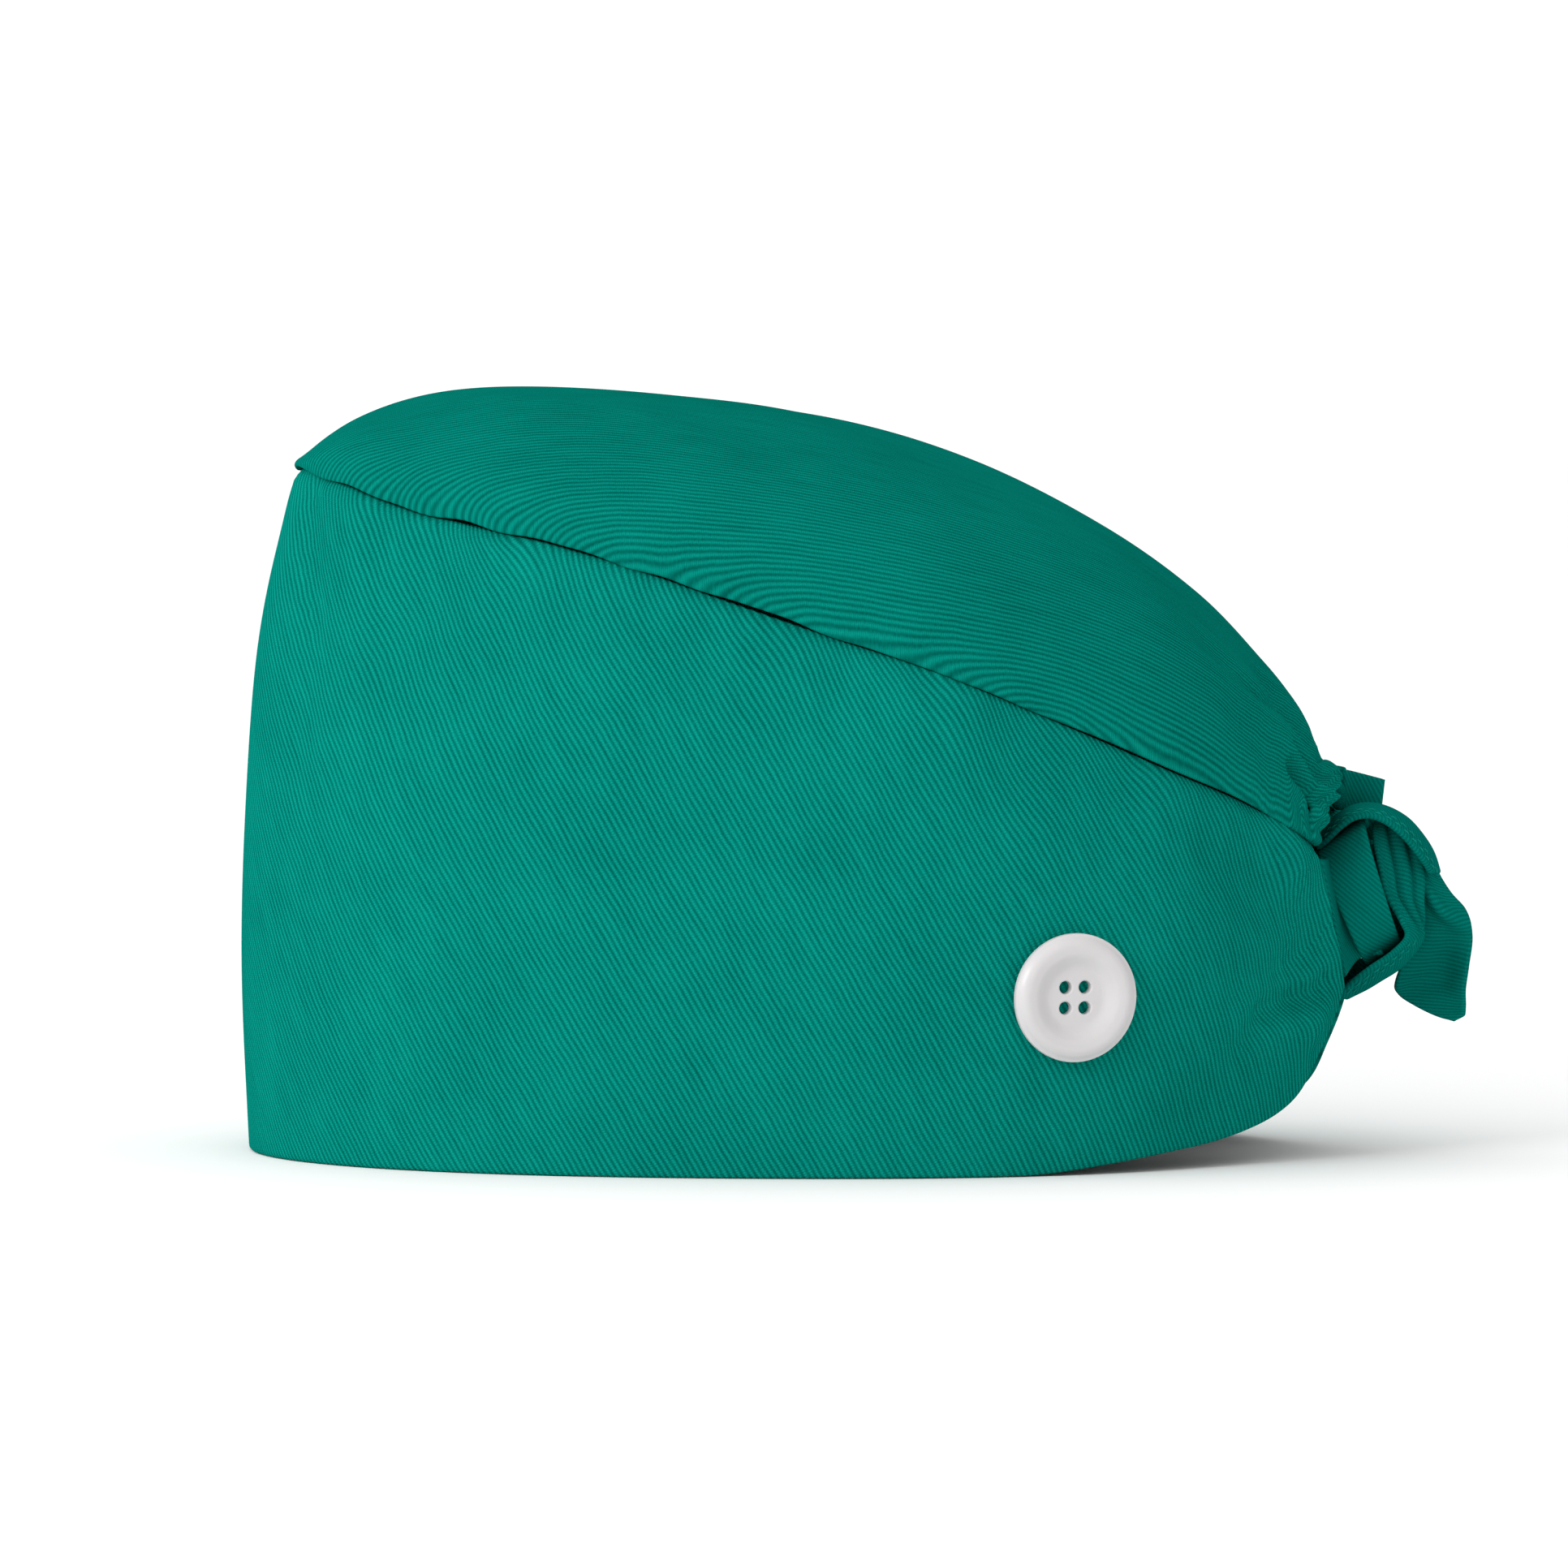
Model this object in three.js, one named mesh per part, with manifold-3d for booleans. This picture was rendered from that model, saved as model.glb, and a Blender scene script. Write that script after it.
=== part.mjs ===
// A tie-back scrub cap in green twill, standing on its rim as it does when it is put down puffed out.
// A tall band wraps the forehead and both sides and narrows towards the nape. A domed crown is sewn to its top
// edge and is gathered into an elastic casing at the back. The two ties are knotted under that casing, and a
// button on each side holds the loops of a face mask.
// Millimetres. X runs from the forehead to the knot, Y from the wearer's left to the right, Z is up.

import * as THREE from "three";
import { mergeVertices } from "three/addons/utils/BufferGeometryUtils.js";
import Module from "manifold-3d";

const wasm = await Module();
wasm.setup();

// Driving dimensions
const CAP_LENGTH = 220; // forehead to the back of the elastic casing
const RIM_WIDTH = 164; // outside width of the rim
const FRONT_HEIGHT = 135; // rim to crown seam at the forehead
const CROWN_RISE = 38.5; // most that the crown stands above its seam
const NOTCH_HEIGHT = 33.5; // rim to the top of the notch at the nape
const BAND_BELLY = 6; // outward bow of the band between rim and seam
const CROWN_PUFF = 2.4; // how far the crown swells out above its seam
const CROWN_OVERHANG = 0.6; // how far the crown's edge stands out over the band's
const BAND_WALL = 1.6; // two layers of twill
const CROWN_WALL = 1.2; // one layer and its seam allowance
const CASING_WALL = 3; // folded hem with elastic inside
const CASING_PROUD = 0.8; // how far the casing stands out over the crown
const GATHER_DEPTH = 1.3; // ruffles where the elastic gathers the crown
const GATHER_COUNT = 8; // ruffles across the casing
const TIE_WIDTH = 25; // flat width of a tie
const TIE_WALL = 1.3; // folded tie
const BUTTON_DIAMETER = 25;
const BUTTON_HEIGHT = 3.6;
const BUTTON_FLOOR_HEIGHT = 1.9; // dish floor above the button's back
const BUTTON_HOLE_DIAMETER = 2.5;
const BUTTON_HOLE_SPACING = 4; // between neighbouring holes
const SEAM_GAP = 0.3; // between pieces that touch

const TWILL = 0x00806f;
const TWILL_TIE = 0x007a69;
const BUTTON_WHITE = 0xe9e6e6;

// Half of the cap, one row for each section from the middle of the forehead to the end of the band at the nape.
// rimX, seamX and ridgeShift are shares of CAP_LENGTH, rimY and seamY of half RIM_WIDTH, rimZ of NOTCH_HEIGHT,
// seamZ of FRONT_HEIGHT, rise of CROWN_RISE, and belly of BAND_BELLY.
const SECTIONS = [
  { rimX: 0.004, rimY: 0.0, rimZ: 0.0, seamX: 0.05, seamY: 0.0, seamZ: 0.999, rise: 0.0, ridgeShift: 0.0, belly: 1.0 },
  { rimX: 0.019, rimY: 0.293, rimZ: 0.0, seamX: 0.065, seamY: 0.265, seamZ: 1.006, rise: 0.065, ridgeShift: 0.0, belly: 1.0 },
  { rimX: 0.063, rimY: 0.533, rimZ: 0.0, seamX: 0.109, seamY: 0.48, seamZ: 0.985, rise: 0.33, ridgeShift: 0.0, belly: 1.0 },
  { rimX: 0.133, rimY: 0.729, rimZ: 0.0, seamX: 0.178, seamY: 0.659, seamZ: 0.949, rise: 0.575, ridgeShift: 0.0, belly: 0.95 },
  { rimX: 0.227, rimY: 0.877, rimZ: 0.0, seamX: 0.271, seamY: 0.791, seamZ: 0.917, rise: 0.72, ridgeShift: 0.0, belly: 0.9 },
  { rimX: 0.342, rimY: 0.97, rimZ: 0.0, seamX: 0.385, seamY: 0.874, seamZ: 0.87, rise: 0.851, ridgeShift: 0.0, belly: 0.85 },
  { rimX: 0.481, rimY: 1.0, rimZ: 0.0, seamX: 0.523, seamY: 0.902, seamZ: 0.794, rise: 1.005, ridgeShift: 0.0, belly: 0.8 },
  { rimX: 0.621, rimY: 0.97, rimZ: 0.0, seamX: 0.661, seamY: 0.874, seamZ: 0.715, rise: 1.041, ridgeShift: 0.0, belly: 0.8 },
  { rimX: 0.735, rimY: 0.877, rimZ: 0.0, seamX: 0.775, seamY: 0.791, seamZ: 0.638, rise: 0.988, ridgeShift: 0.0, belly: 0.8 },
  { rimX: 0.83, rimY: 0.726, rimZ: 0.075, seamX: 0.857, seamY: 0.671, seamZ: 0.576, rise: 0.873, ridgeShift: 0.0, belly: 0.75 },
  { rimX: 0.907, rimY: 0.512, rimZ: 0.165, seamX: 0.916, seamY: 0.518, seamZ: 0.529, rise: 0.69, ridgeShift: 0.0, belly: 0.6 },
  { rimX: 0.957, rimY: 0.311, rimZ: 0.33, seamX: 0.953, seamY: 0.396, seamZ: 0.488, rise: 0.57, ridgeShift: 0.001, belly: 0.45 },
  { rimX: 0.982, rimY: 0.213, rimZ: 0.627, seamX: 0.969, seamY: 0.329, seamZ: 0.468, rise: 0.43, ridgeShift: 0.005, belly: 0.35 },
  { rimX: 1.003, rimY: 0.152, rimZ: 1.0, seamX: 0.978, seamY: 0.293, seamZ: 0.455, rise: 0.31, ridgeShift: 0.011, belly: 0.25 },
];
const LAST_SECTION = SECTIONS.length - 1;
const CASING_START = 12.4; // section where the crown ends and the casing begins
const GATHER_START = 10.2; // section where the gathers begin to show

// Soft folds of the band. section and up say where, in sections and as a share of the band's height; reach and
// tall are its half sizes there; lean shifts it by sections from bottom to top; depth is a share of BAND_BELLY.
const BAND_FOLDS = [
  { section: 1.3, up: 0.86, reach: 0.5, tall: 0.2, lean: 0.6, depth: 0.25 },
  { section: 3.2, up: 0.8, reach: 0.8, tall: 0.16, lean: -2.2, depth: -0.35 },
  { section: 6.6, up: 0.72, reach: 1.4, tall: 0.14, lean: -3.0, depth: -0.25 },
  { section: 11.2, up: 0.6, reach: 0.9, tall: 0.22, lean: 1.5, depth: -0.3 },
  { section: 11.0, up: 0.16, reach: 1.2, tall: 0.14, lean: 2.5, depth: 0.3 },
];

// Soft folds of the crown, the same way: across goes from 0 at the wearer's left seam to 1 at the right one.
const CROWN_FOLDS = [
  { section: 3.5, across: 0.62, reach: 2.4, wide: 0.05, depth: 0.6 },
  { section: 11.2, across: 0.42, reach: 1.4, wide: 0.045, depth: -1.1 },
  { section: 11.4, across: 0.62, reach: 1.2, wide: 0.05, depth: -0.9 },
  { section: 11.5, across: 0.2, reach: 0.8, wide: 0.05, depth: -0.8 },
  { section: 11.5, across: 0.8, reach: 0.8, wide: 0.05, depth: -0.8 },
];

const BAND_COLUMNS = 78;
const BAND_ROWS = 7;
const CROWN_SECTIONS = 24;
const CROWN_COLUMNS = 6 * GATHER_COUNT;

// Value of a table column at a fractional row, on a smooth curve through the rows. In front of row 0 the table is
// mirrored, with the sign of an odd column changed.
function smooth(rows, column, at, odd = false) {
  const last = rows.length - 1;
  const value = (i) => {
    if (i < 0) return (odd ? -1 : 1) * rows[-i][column];
    if (i > last) return 2 * rows[last][column] - rows[2 * last - i][column];
    return rows[i][column];
  };
  const i = Math.min(Math.floor(at), last - 1);
  const t = at - i;
  const [a, b, c, d] = [i - 1, i, i + 1, i + 2].map(value);
  return b + 0.5 * t * (c - a + t * (2 * a - 5 * b + 4 * c - d + t * (3 * (b - c) + d - a)));
}

const bump = (x) => Math.exp(-x * x);
const rounded = (x, power) => Math.sign(x) * Math.abs(x) ** power;
const ramp = (from, to, at) => THREE.MathUtils.smoothstep(at, from, to);

function rimPoint(section) {
  return new THREE.Vector3(
    smooth(SECTIONS, "rimX", section) * CAP_LENGTH,
    (smooth(SECTIONS, "rimY", section, true) * RIM_WIDTH) / 2,
    Math.max(0, smooth(SECTIONS, "rimZ", section)) * NOTCH_HEIGHT,
  );
}

function seamPoint(section) {
  return new THREE.Vector3(
    smooth(SECTIONS, "seamX", section) * CAP_LENGTH,
    (smooth(SECTIONS, "seamY", section, true) * RIM_WIDTH) / 2,
    smooth(SECTIONS, "seamZ", section) * FRONT_HEIGHT,
  );
}

// Outward direction of the cap's plan at a section of its right half
function planOutward(section) {
  const step = 0.05;
  const ahead = rimPoint(section + step).add(seamPoint(section + step));
  const along = ahead.sub(rimPoint(section - step)).sub(seamPoint(section - step));
  return new THREE.Vector3(-along.y, along.x, 0).normalize();
}

// Outer face of the band. place runs from -LAST_SECTION at the wearer's left end, through 0 at the forehead, to
// LAST_SECTION at the right end, and up from 0 at the rim to 1 at the seam.
function bandPoint(place, up) {
  const section = Math.abs(place);
  const bow = Math.abs(Math.sin(Math.PI * up ** 1.25)) ** 0.7 * smooth(SECTIONS, "belly", section);
  const folds = BAND_FOLDS.reduce((sum, f) => {
    const along = (section - f.section - f.lean * (up - f.up)) / f.reach;
    return sum + f.depth * bump(along) * bump((up - f.up) / f.tall);
  }, 0);
  const point = rimPoint(section).lerp(seamPoint(section), up);
  point.addScaledVector(planOutward(section), (bow + folds * Math.sin(Math.PI * up)) * BAND_BELLY);
  if (place < 0) point.y = -point.y;
  return point;
}

// The crown's dome before it is gathered. across runs from 0 at the wearer's left seam, over the ridge, to 1.
function domePoint(section, across) {
  const angle = Math.PI * across;
  const dome = 0.88; // below 1 makes the dome fuller than an ellipse
  const [side, up] = [-rounded(Math.cos(angle), dome), rounded(Math.sin(angle), dome)];
  const seam = seamPoint(section);
  const puff = CROWN_PUFF * Math.sin(angle) * ramp(0, 2, section) * (1 - ramp(10, LAST_SECTION, section));
  seam.addScaledVector(planOutward(section), CROWN_OVERHANG + puff * Math.abs(side));
  return new THREE.Vector3(
    seam.x + smooth(SECTIONS, "ridgeShift", section) * CAP_LENGTH * up,
    seam.y * side,
    seam.z + SEAM_GAP + smooth(SECTIONS, "rise", section) * CROWN_RISE * up,
  );
}

// Unit normal of a surface point(u, v) by differences
function normalOf(point, u, v, stepU = 0.02, stepV = 0.004) {
  const alongU = point(u + stepU, v).sub(point(u - stepU, v));
  const alongV = point(u, v + stepV).sub(point(u, v - stepV));
  return alongU.cross(alongV).normalize();
}

function crownNormal(section, across) {
  if (section === 0) return new THREE.Vector3(-1, 0, 0); // the front end is one point
  const edge = 0.01; // keeps off the ends, where the dome's own direction is undefined
  const place = THREE.MathUtils.clamp(across, edge, 1 - edge);
  return normalOf(domePoint, THREE.MathUtils.clamp(section, 0.1, LAST_SECTION), place);
}

// Ruffles of the crown towards its elastic casing, mostly inwards
function gather(section, across) {
  const swell = (Math.cos(2 * Math.PI * GATHER_COUNT * across) - 0.6) * Math.sin(Math.PI * across) ** 0.5;
  return swell * ramp(GATHER_START, CASING_START, section) * GATHER_DEPTH;
}

function crownPoint(section, across) {
  const folds = CROWN_FOLDS.reduce(
    (sum, f) => sum + f.depth * bump((section - f.section) / f.reach) * bump((across - f.across) / f.wide),
    0,
  );
  const away = gather(section, across) + folds * BAND_BELLY * 0.4 * Math.sin(Math.PI * across);
  return domePoint(section, across).addScaledVector(crownNormal(section, across), away * ramp(0, 1, section));
}

// Indexed closed body between two grids of points, outer[i][j] over inner[i][j]. A closed loop joins its last
// column to its first.
function bodyBetween(outer, inner, loop = false) {
  const [columns, rows] = [outer.length, outer[0].length];
  const positions = [...outer.flat(), ...inner.flat()].flatMap((p) => [p.x, p.y, p.z]);
  const at = (layer, i, j) => (layer * columns + (i % columns)) * rows + j;
  const faces = [];
  const quad = (a, b, c, d) => faces.push([a, b, c], [a, c, d]);
  const spans = loop ? columns : columns - 1;
  for (let i = 0; i < spans; i++) {
    for (let j = 0; j < rows - 1; j++) {
      quad(at(0, i, j), at(0, i + 1, j), at(0, i + 1, j + 1), at(0, i, j + 1));
      quad(at(1, i, j), at(1, i, j + 1), at(1, i + 1, j + 1), at(1, i + 1, j));
    }
    quad(at(0, i, 0), at(1, i, 0), at(1, i + 1, 0), at(0, i + 1, 0));
    quad(at(0, i, rows - 1), at(0, i + 1, rows - 1), at(1, i + 1, rows - 1), at(1, i, rows - 1));
  }
  for (let j = 0; j < rows - 1 && !loop; j++) {
    quad(at(0, 0, j), at(0, 0, j + 1), at(1, 0, j + 1), at(1, 0, j));
    quad(at(0, columns - 1, j), at(1, columns - 1, j), at(1, columns - 1, j + 1), at(0, columns - 1, j + 1));
  }
  const geometry = new THREE.BufferGeometry();
  geometry.setAttribute("position", new THREE.Float32BufferAttribute(positions, 3));
  geometry.setIndex(faces.flat());
  return facingOut(mergeVertices(geometry, 1e-4));
}

// Drops faces that a merge has collapsed, and turns the body's faces outwards if they point in.
function facingOut(geometry) {
  const [index, position] = [geometry.index.array, geometry.attributes.position];
  const corner = (n) => new THREE.Vector3().fromBufferAttribute(position, n);
  const kept = [];
  let volume = 0;
  for (let i = 0; i < index.length; i += 3) {
    const [a, b, c] = index.slice(i, i + 3);
    if (a === b || b === c || c === a) continue;
    kept.push([a, b, c]);
    volume += corner(a).dot(corner(b).cross(corner(c)));
  }
  geometry.setIndex((volume < 0 ? kept.map(([a, b, c]) => [a, c, b]) : kept).flat());
  return geometry;
}

const steps = (from, to, count) => Array.from({ length: count + 1 }, (_, i) => from + ((to - from) * i) / count);

// A cloth wall behind the surface point(u, v), whose outward normal is given. Its edges at both ends of v are cut
// level, so that the rim stands flat on the table and the seams meet flat.
function clothWall(point, normal, us, vs, wall) {
  const outer = us.map((u) => vs.map((v) => point(u, v)));
  const inner = us.map((u, i) =>
    vs.map((v, j) => {
      const away = normal(u, v);
      if (j === 0 || j === vs.length - 1) away.setZ(0).normalize();
      const corner = outer[i][j].clone().addScaledVector(away, -wall);
      const edge = outer[i][0].z; // no part of a wall hangs below its lower edge
      corner.z = Math.max(corner.z, THREE.MathUtils.lerp(edge, outer[i][j].z, 0.35));
      return corner;
    }),
  );
  return bodyBetween(outer, inner);
}

function bandNormal(place, up) {
  const edge = 0.01;
  const height = THREE.MathUtils.clamp(up, edge, 1 - edge);
  return normalOf(bandPoint, place, height).negate();
}

function makeBand() {
  const places = steps(-LAST_SECTION, LAST_SECTION, BAND_COLUMNS);
  return clothWall(bandPoint, bandNormal, places, steps(0, 1, BAND_ROWS), BAND_WALL);
}

function makeCrown() {
  const sections = steps(0, CASING_START, CROWN_SECTIONS);
  return clothWall(crownPoint, crownNormal, sections, steps(0, 1, CROWN_COLUMNS), CROWN_WALL);
}

// The casing continues the crown's surface to its back edge and is thicker and more ruffled.
function makeCasing() {
  const start = CASING_START + SEAM_GAP / 4;
  const point = (section, across) =>
    domePoint(section, across).addScaledVector(
      crownNormal(section, across),
      CASING_PROUD * Math.sin(Math.PI * across) + gather(section, across),
    );
  return clothWall(point, crownNormal, steps(start, LAST_SECTION, 2), steps(0, 1, CROWN_COLUMNS), CASING_WALL);
}

// A ribbon through rows of two edge points, bowed by cup between them, as a body half a wall to each side.
function ribbonBody(rows, columns, acrossSteps, wall, pleats = () => 0) {
  const edge = (at, name) =>
    new THREE.Vector3(...["X", "Y", "Z"].map((axis) => smooth(rows, name + axis, at)));
  const flat = (at, across) => edge(at, "a").lerp(edge(at, "b"), across);
  const flatNormal = (at, across) => normalOf(flat, at, across, 0.02, 0.02);
  const point = (at, across) => {
    const bow = smooth(rows, "cup", at) * Math.sin(Math.PI * across) + pleats(at, across);
    return flat(at, across).addScaledVector(flatNormal(at, across), bow);
  };
  const normal = (at, across) => normalOf(point, at, across, 0.02, 0.02);
  const us = steps(0, rows.length - 1, columns);
  const vs = steps(0, 1, acrossSteps);
  const side = (sign) => us.map((u) => vs.map((v) => point(u, v).addScaledVector(normal(u, v), (sign * wall) / 2)));
  return bodyBetween(side(1), side(-1));
}

// The knot's own frame: its middle lies between the band's two ends, and its lengths are shares of TIE_WIDTH.
const bandTip = rimPoint(LAST_SECTION);
const bandTop = seamPoint(LAST_SECTION);
const knotCentre = new THREE.Vector3(bandTip.x, 0, (bandTip.z + bandTop.z) / 2);

// Turns [back, side, up] shares of an edge into coordinates.
function knotPoint([back, side, up]) {
  return new THREE.Vector3(back, side, up).multiplyScalar(TIE_WIDTH).add(knotCentre);
}

function ribbonRow(a, b, cup) {
  return { aX: a.x, aY: a.y, aZ: a.z, bX: b.x, bY: b.y, bZ: b.z, cup: cup * TIE_WIDTH };
}

const ribbonRows = (table) => table.map(({ a, b, cup }) => ribbonRow(knotPoint(a), knotPoint(b), cup));

// Each row of a ribbon's table has its two edge points as [back, side, up], and its cup.
// The lower strap comes out under the wrap, turns up behind it and widens into the pleated loop.
const LOOP = [
  { a: [-0.09, -0.34, -0.63], b: [-0.15, 0.36, -0.5], cup: -0.13 },
  { a: [0.05, -0.42, -0.51], b: [0.0, 0.36, -0.41], cup: -0.16 },
  { a: [0.19, -0.5, -0.4], b: [0.15, 0.34, -0.37], cup: -0.15 },
  { a: [0.35, -0.5, -0.29], b: [0.33, 0.28, -0.3], cup: -0.13 },
  { a: [0.47, -0.48, -0.16], b: [0.52, 0.1, -0.16], cup: -0.08 },
  { a: [0.43, -0.44, -0.03], b: [0.59, -0.08, -0.06], cup: 0.0 },
  { a: [0.31, -0.42, 0.18], b: [0.6, -0.16, 0.11], cup: 0.04 },
  { a: [0.26, -0.38, 0.37], b: [0.6, -0.12, 0.3], cup: 0.03 },
  { a: [0.22, -0.32, 0.54], b: [0.56, -0.06, 0.47], cup: 0.02 },
  { a: [0.2, -0.24, 0.66], b: [0.49, 0.0, 0.62], cup: 0.01 },
  { a: [0.19, -0.14, 0.73], b: [0.39, 0.06, 0.74], cup: 0.0 },
];
// The arch lies over the wrap and runs down into the long tail.
const ARCH = [
  { a: [-0.24, -0.3, 0.52], b: [-0.25, 0.1, 0.64], cup: 0.0 },
  { a: [-0.15, -0.36, 0.6], b: [-0.16, 0.12, 0.72], cup: 0.01 },
  { a: [-0.05, -0.42, 0.7], b: [-0.06, 0.12, 0.79], cup: 0.02 },
  { a: [0.05, -0.44, 0.77], b: [0.04, 0.11, 0.84], cup: 0.02 },
  { a: [0.17, -0.44, 0.79], b: [0.17, 0.1, 0.855], cup: 0.02 },
  { a: [0.29, -0.44, 0.75], b: [0.31, 0.1, 0.82], cup: 0.03 },
  { a: [0.4, -0.42, 0.67], b: [0.45, 0.1, 0.74], cup: 0.03 },
  { a: [0.51, -0.38, 0.55], b: [0.56, 0.1, 0.62], cup: 0.03 },
  { a: [0.59, -0.34, 0.44], b: [0.65, 0.1, 0.48], cup: 0.02 },
  { a: [0.66, -0.24, 0.33], b: [0.71, 0.08, 0.31], cup: 0.0 },
];
const LONG_TAIL = [
  { a: [0.7, -0.1, 0.35], b: [0.47, -0.02, 0.42], cup: 0.0 },
  { a: [0.81, 0.02, 0.17], b: [0.51, 0.0, 0.12], cup: -0.03 },
  { a: [0.93, 0.1, 0.02], b: [0.48, 0.12, -0.2], cup: -0.03 },
  { a: [0.975, 0.16, -0.18], b: [0.36, 0.2, -0.55], cup: 0.04 },
  { a: [0.945, 0.18, -0.42], b: [0.38, 0.26, -0.66], cup: 0.06 },
  { a: [0.92, 0.18, -0.6], b: [0.51, 0.26, -0.75], cup: 0.04 },
  { a: [0.92, 0.18, -0.73], b: [0.68, 0.24, -0.83], cup: 0.02 },
  { a: [0.915, 0.16, -0.82], b: [0.83, 0.2, -0.87], cup: 0.0 },
];
const SHORT_TAIL = [
  { a: [-0.1, 0.32, 0.58], b: [-0.07, 0.3, 1.135], cup: 0.02 },
  { a: [0.0, 0.32, 0.57], b: [0.0, 0.34, 1.12], cup: 0.03 },
  { a: [0.16, 0.28, 0.57], b: [0.2, 0.32, 1.07], cup: 0.03 },
  { a: [0.22, 0.28, 0.58], b: [0.27, 0.32, 1.05], cup: 0.02 },
];
// Cloth bunched up inside the wrap, where the right tie's turns meet
const BUNCH = { centre: [0.19, 0.03, 0.17], reach: [0.42, 0.29, 0.36], pleats: 7, depth: 0.08 };

function bunchBody() {
  const turns = steps(0, 2 * Math.PI, 4 * BUNCH.pleats).slice(0, -1);
  const rings = steps(0.15, Math.PI - 0.15, 6);
  const centre = knotPoint(BUNCH.centre);
  const rows = turns.map((turn, i) =>
    rings.map((ring) => {
      const pleat = 1 + BUNCH.depth * Math.cos(i * (Math.PI / 2)) * Math.sin(ring);
      const [back, side, up] = [-Math.cos(ring), Math.sin(ring) * Math.cos(turn), Math.sin(ring) * Math.sin(turn)];
      const [reachBack, reachSide, reachUp] = BUNCH.reach.map((reach) => reach * TIE_WIDTH);
      return new THREE.Vector3(back * reachBack, side * reachSide * pleat, up * reachUp * pleat).add(centre);
    }),
  );
  const axis = rows.map((row) => row.map((p) => new THREE.Vector3(p.x, centre.y, centre.z)));
  return bodyBetween(rows, axis, true);
}

// A strap leaves the whole back edge of the band on one side, in line with it, and closes up into the knot.
function strapRows(side, knotRows) {
  const edgePoint = (up, leaving) => {
    const point = bandPoint(LAST_SECTION, up);
    const along = point.clone().sub(bandPoint(LAST_SECTION - 0.05, up)).normalize();
    point.addScaledVector(along, leaving).addScaledVector(bandNormal(LAST_SECTION, up), -BAND_WALL / 2);
    return point.multiply(new THREE.Vector3(1, side, 1));
  };
  const leaving = 3.5 * SEAM_GAP; // clear of the band although the strap turns inwards
  return [ribbonRow(edgePoint(0.03, leaving), edgePoint(0.94, leaving), 0), ...ribbonRows(knotRows)];
}

const LEFT_STRAP = [
  { a: [0.1, -0.4, -0.34], b: [-0.16, -0.44, 0.46], cup: 0.0 },
  { a: [0.29, -0.36, -0.31], b: [0.0, -0.36, 0.56], cup: 0.0 },
];
const RIGHT_STRAP = [
  { a: [0.0, 0.4, -0.48], b: [-0.25, 0.47, 0.34], cup: 0.02 },
  { a: [0.06, 0.22, -0.2], b: [-0.15, 0.27, 0.325], cup: 0.0 },
  { a: [0.18, 0.1, -0.14], b: [0.06, 0.14, 0.42], cup: 0.0 },
];

// The wrap is a flattened ring that leans back at its foot. Its lengths are shares of TIE_WIDTH.
const WRAP = {
  centre: [0.112, -0.06, 0.165],
  halfHeight: 0.52,
  halfDepth: 0.53,
  widthTop: 0.46,
  widthFoot: 0.34,
  lean: THREE.MathUtils.degToRad(21),
  edgeLean: THREE.MathUtils.degToRad(36),
};

function wrapBody() {
  const down = new THREE.Vector3(Math.sin(WRAP.lean), 0, -Math.cos(WRAP.lean));
  const along = new THREE.Vector3(Math.cos(WRAP.edgeLean), 0, Math.sin(WRAP.edgeLean));
  const middle = knotPoint(WRAP.centre);
  const flatness = 0.78; // below 1 squares the ring's corners
  const point = (angle, across) => {
    const [low, near] = [rounded(Math.cos(angle), flatness), rounded(Math.sin(angle), flatness)];
    const width = THREE.MathUtils.lerp(WRAP.widthTop, WRAP.widthFoot, (1 + low) / 2);
    return middle
      .clone()
      .addScaledVector(down, low * WRAP.halfHeight * TIE_WIDTH)
      .addScaledVector(new THREE.Vector3(0, -1, 0), near * WRAP.halfDepth * TIE_WIDTH)
      .addScaledVector(along, (across - 0.5) * width * TIE_WIDTH);
  };
  const turns = steps(Math.PI / 28, Math.PI / 28 + 2 * Math.PI, 28).slice(0, -1);
  const across = steps(0, 1, 3);
  const outer = turns.map((turn) => across.map((v) => point(turn, v)));
  const inner = outer.map((column) =>
    column.map((p, j) => {
      const axis = middle.clone().addScaledVector(along, (across[j] - 0.5) * WRAP.widthTop * TIE_WIDTH);
      return p.clone().addScaledVector(axis.sub(p).normalize(), TIE_WALL);
    }),
  );
  return bodyBetween(outer, inner, true);
}

function toSolid(geometry) {
  const merged = mergeVertices(geometry, 1e-4);
  return new wasm.Manifold(
    new wasm.Mesh({
      numProp: 3,
      vertProperties: merged.attributes.position.array,
      triVerts: new Uint32Array(merged.index.array),
    }),
  );
}

function toGeometry(solid) {
  const { numProp, vertProperties, triVerts } = solid.getMesh();
  const corners = [];
  for (let i = 0; i < vertProperties.length; i += numProp) corners.push(...vertProperties.slice(i, i + 3));
  const geometry = new THREE.BufferGeometry();
  geometry.setAttribute("position", new THREE.Float32BufferAttribute(corners, 3));
  geometry.setIndex([...triVerts]);
  return geometry;
}

const joined = (bodies) => toGeometry(bodies.map(toSolid).reduce((all, body) => all.add(body)));

function makeLeftTie() {
  return joined([
    ribbonBody(strapRows(-1, LEFT_STRAP), 8, 3, TIE_WALL),
    wrapBody(),
    ribbonBody(ribbonRows(SHORT_TAIL), 4, 3, TIE_WALL),
  ]);
}

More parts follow.
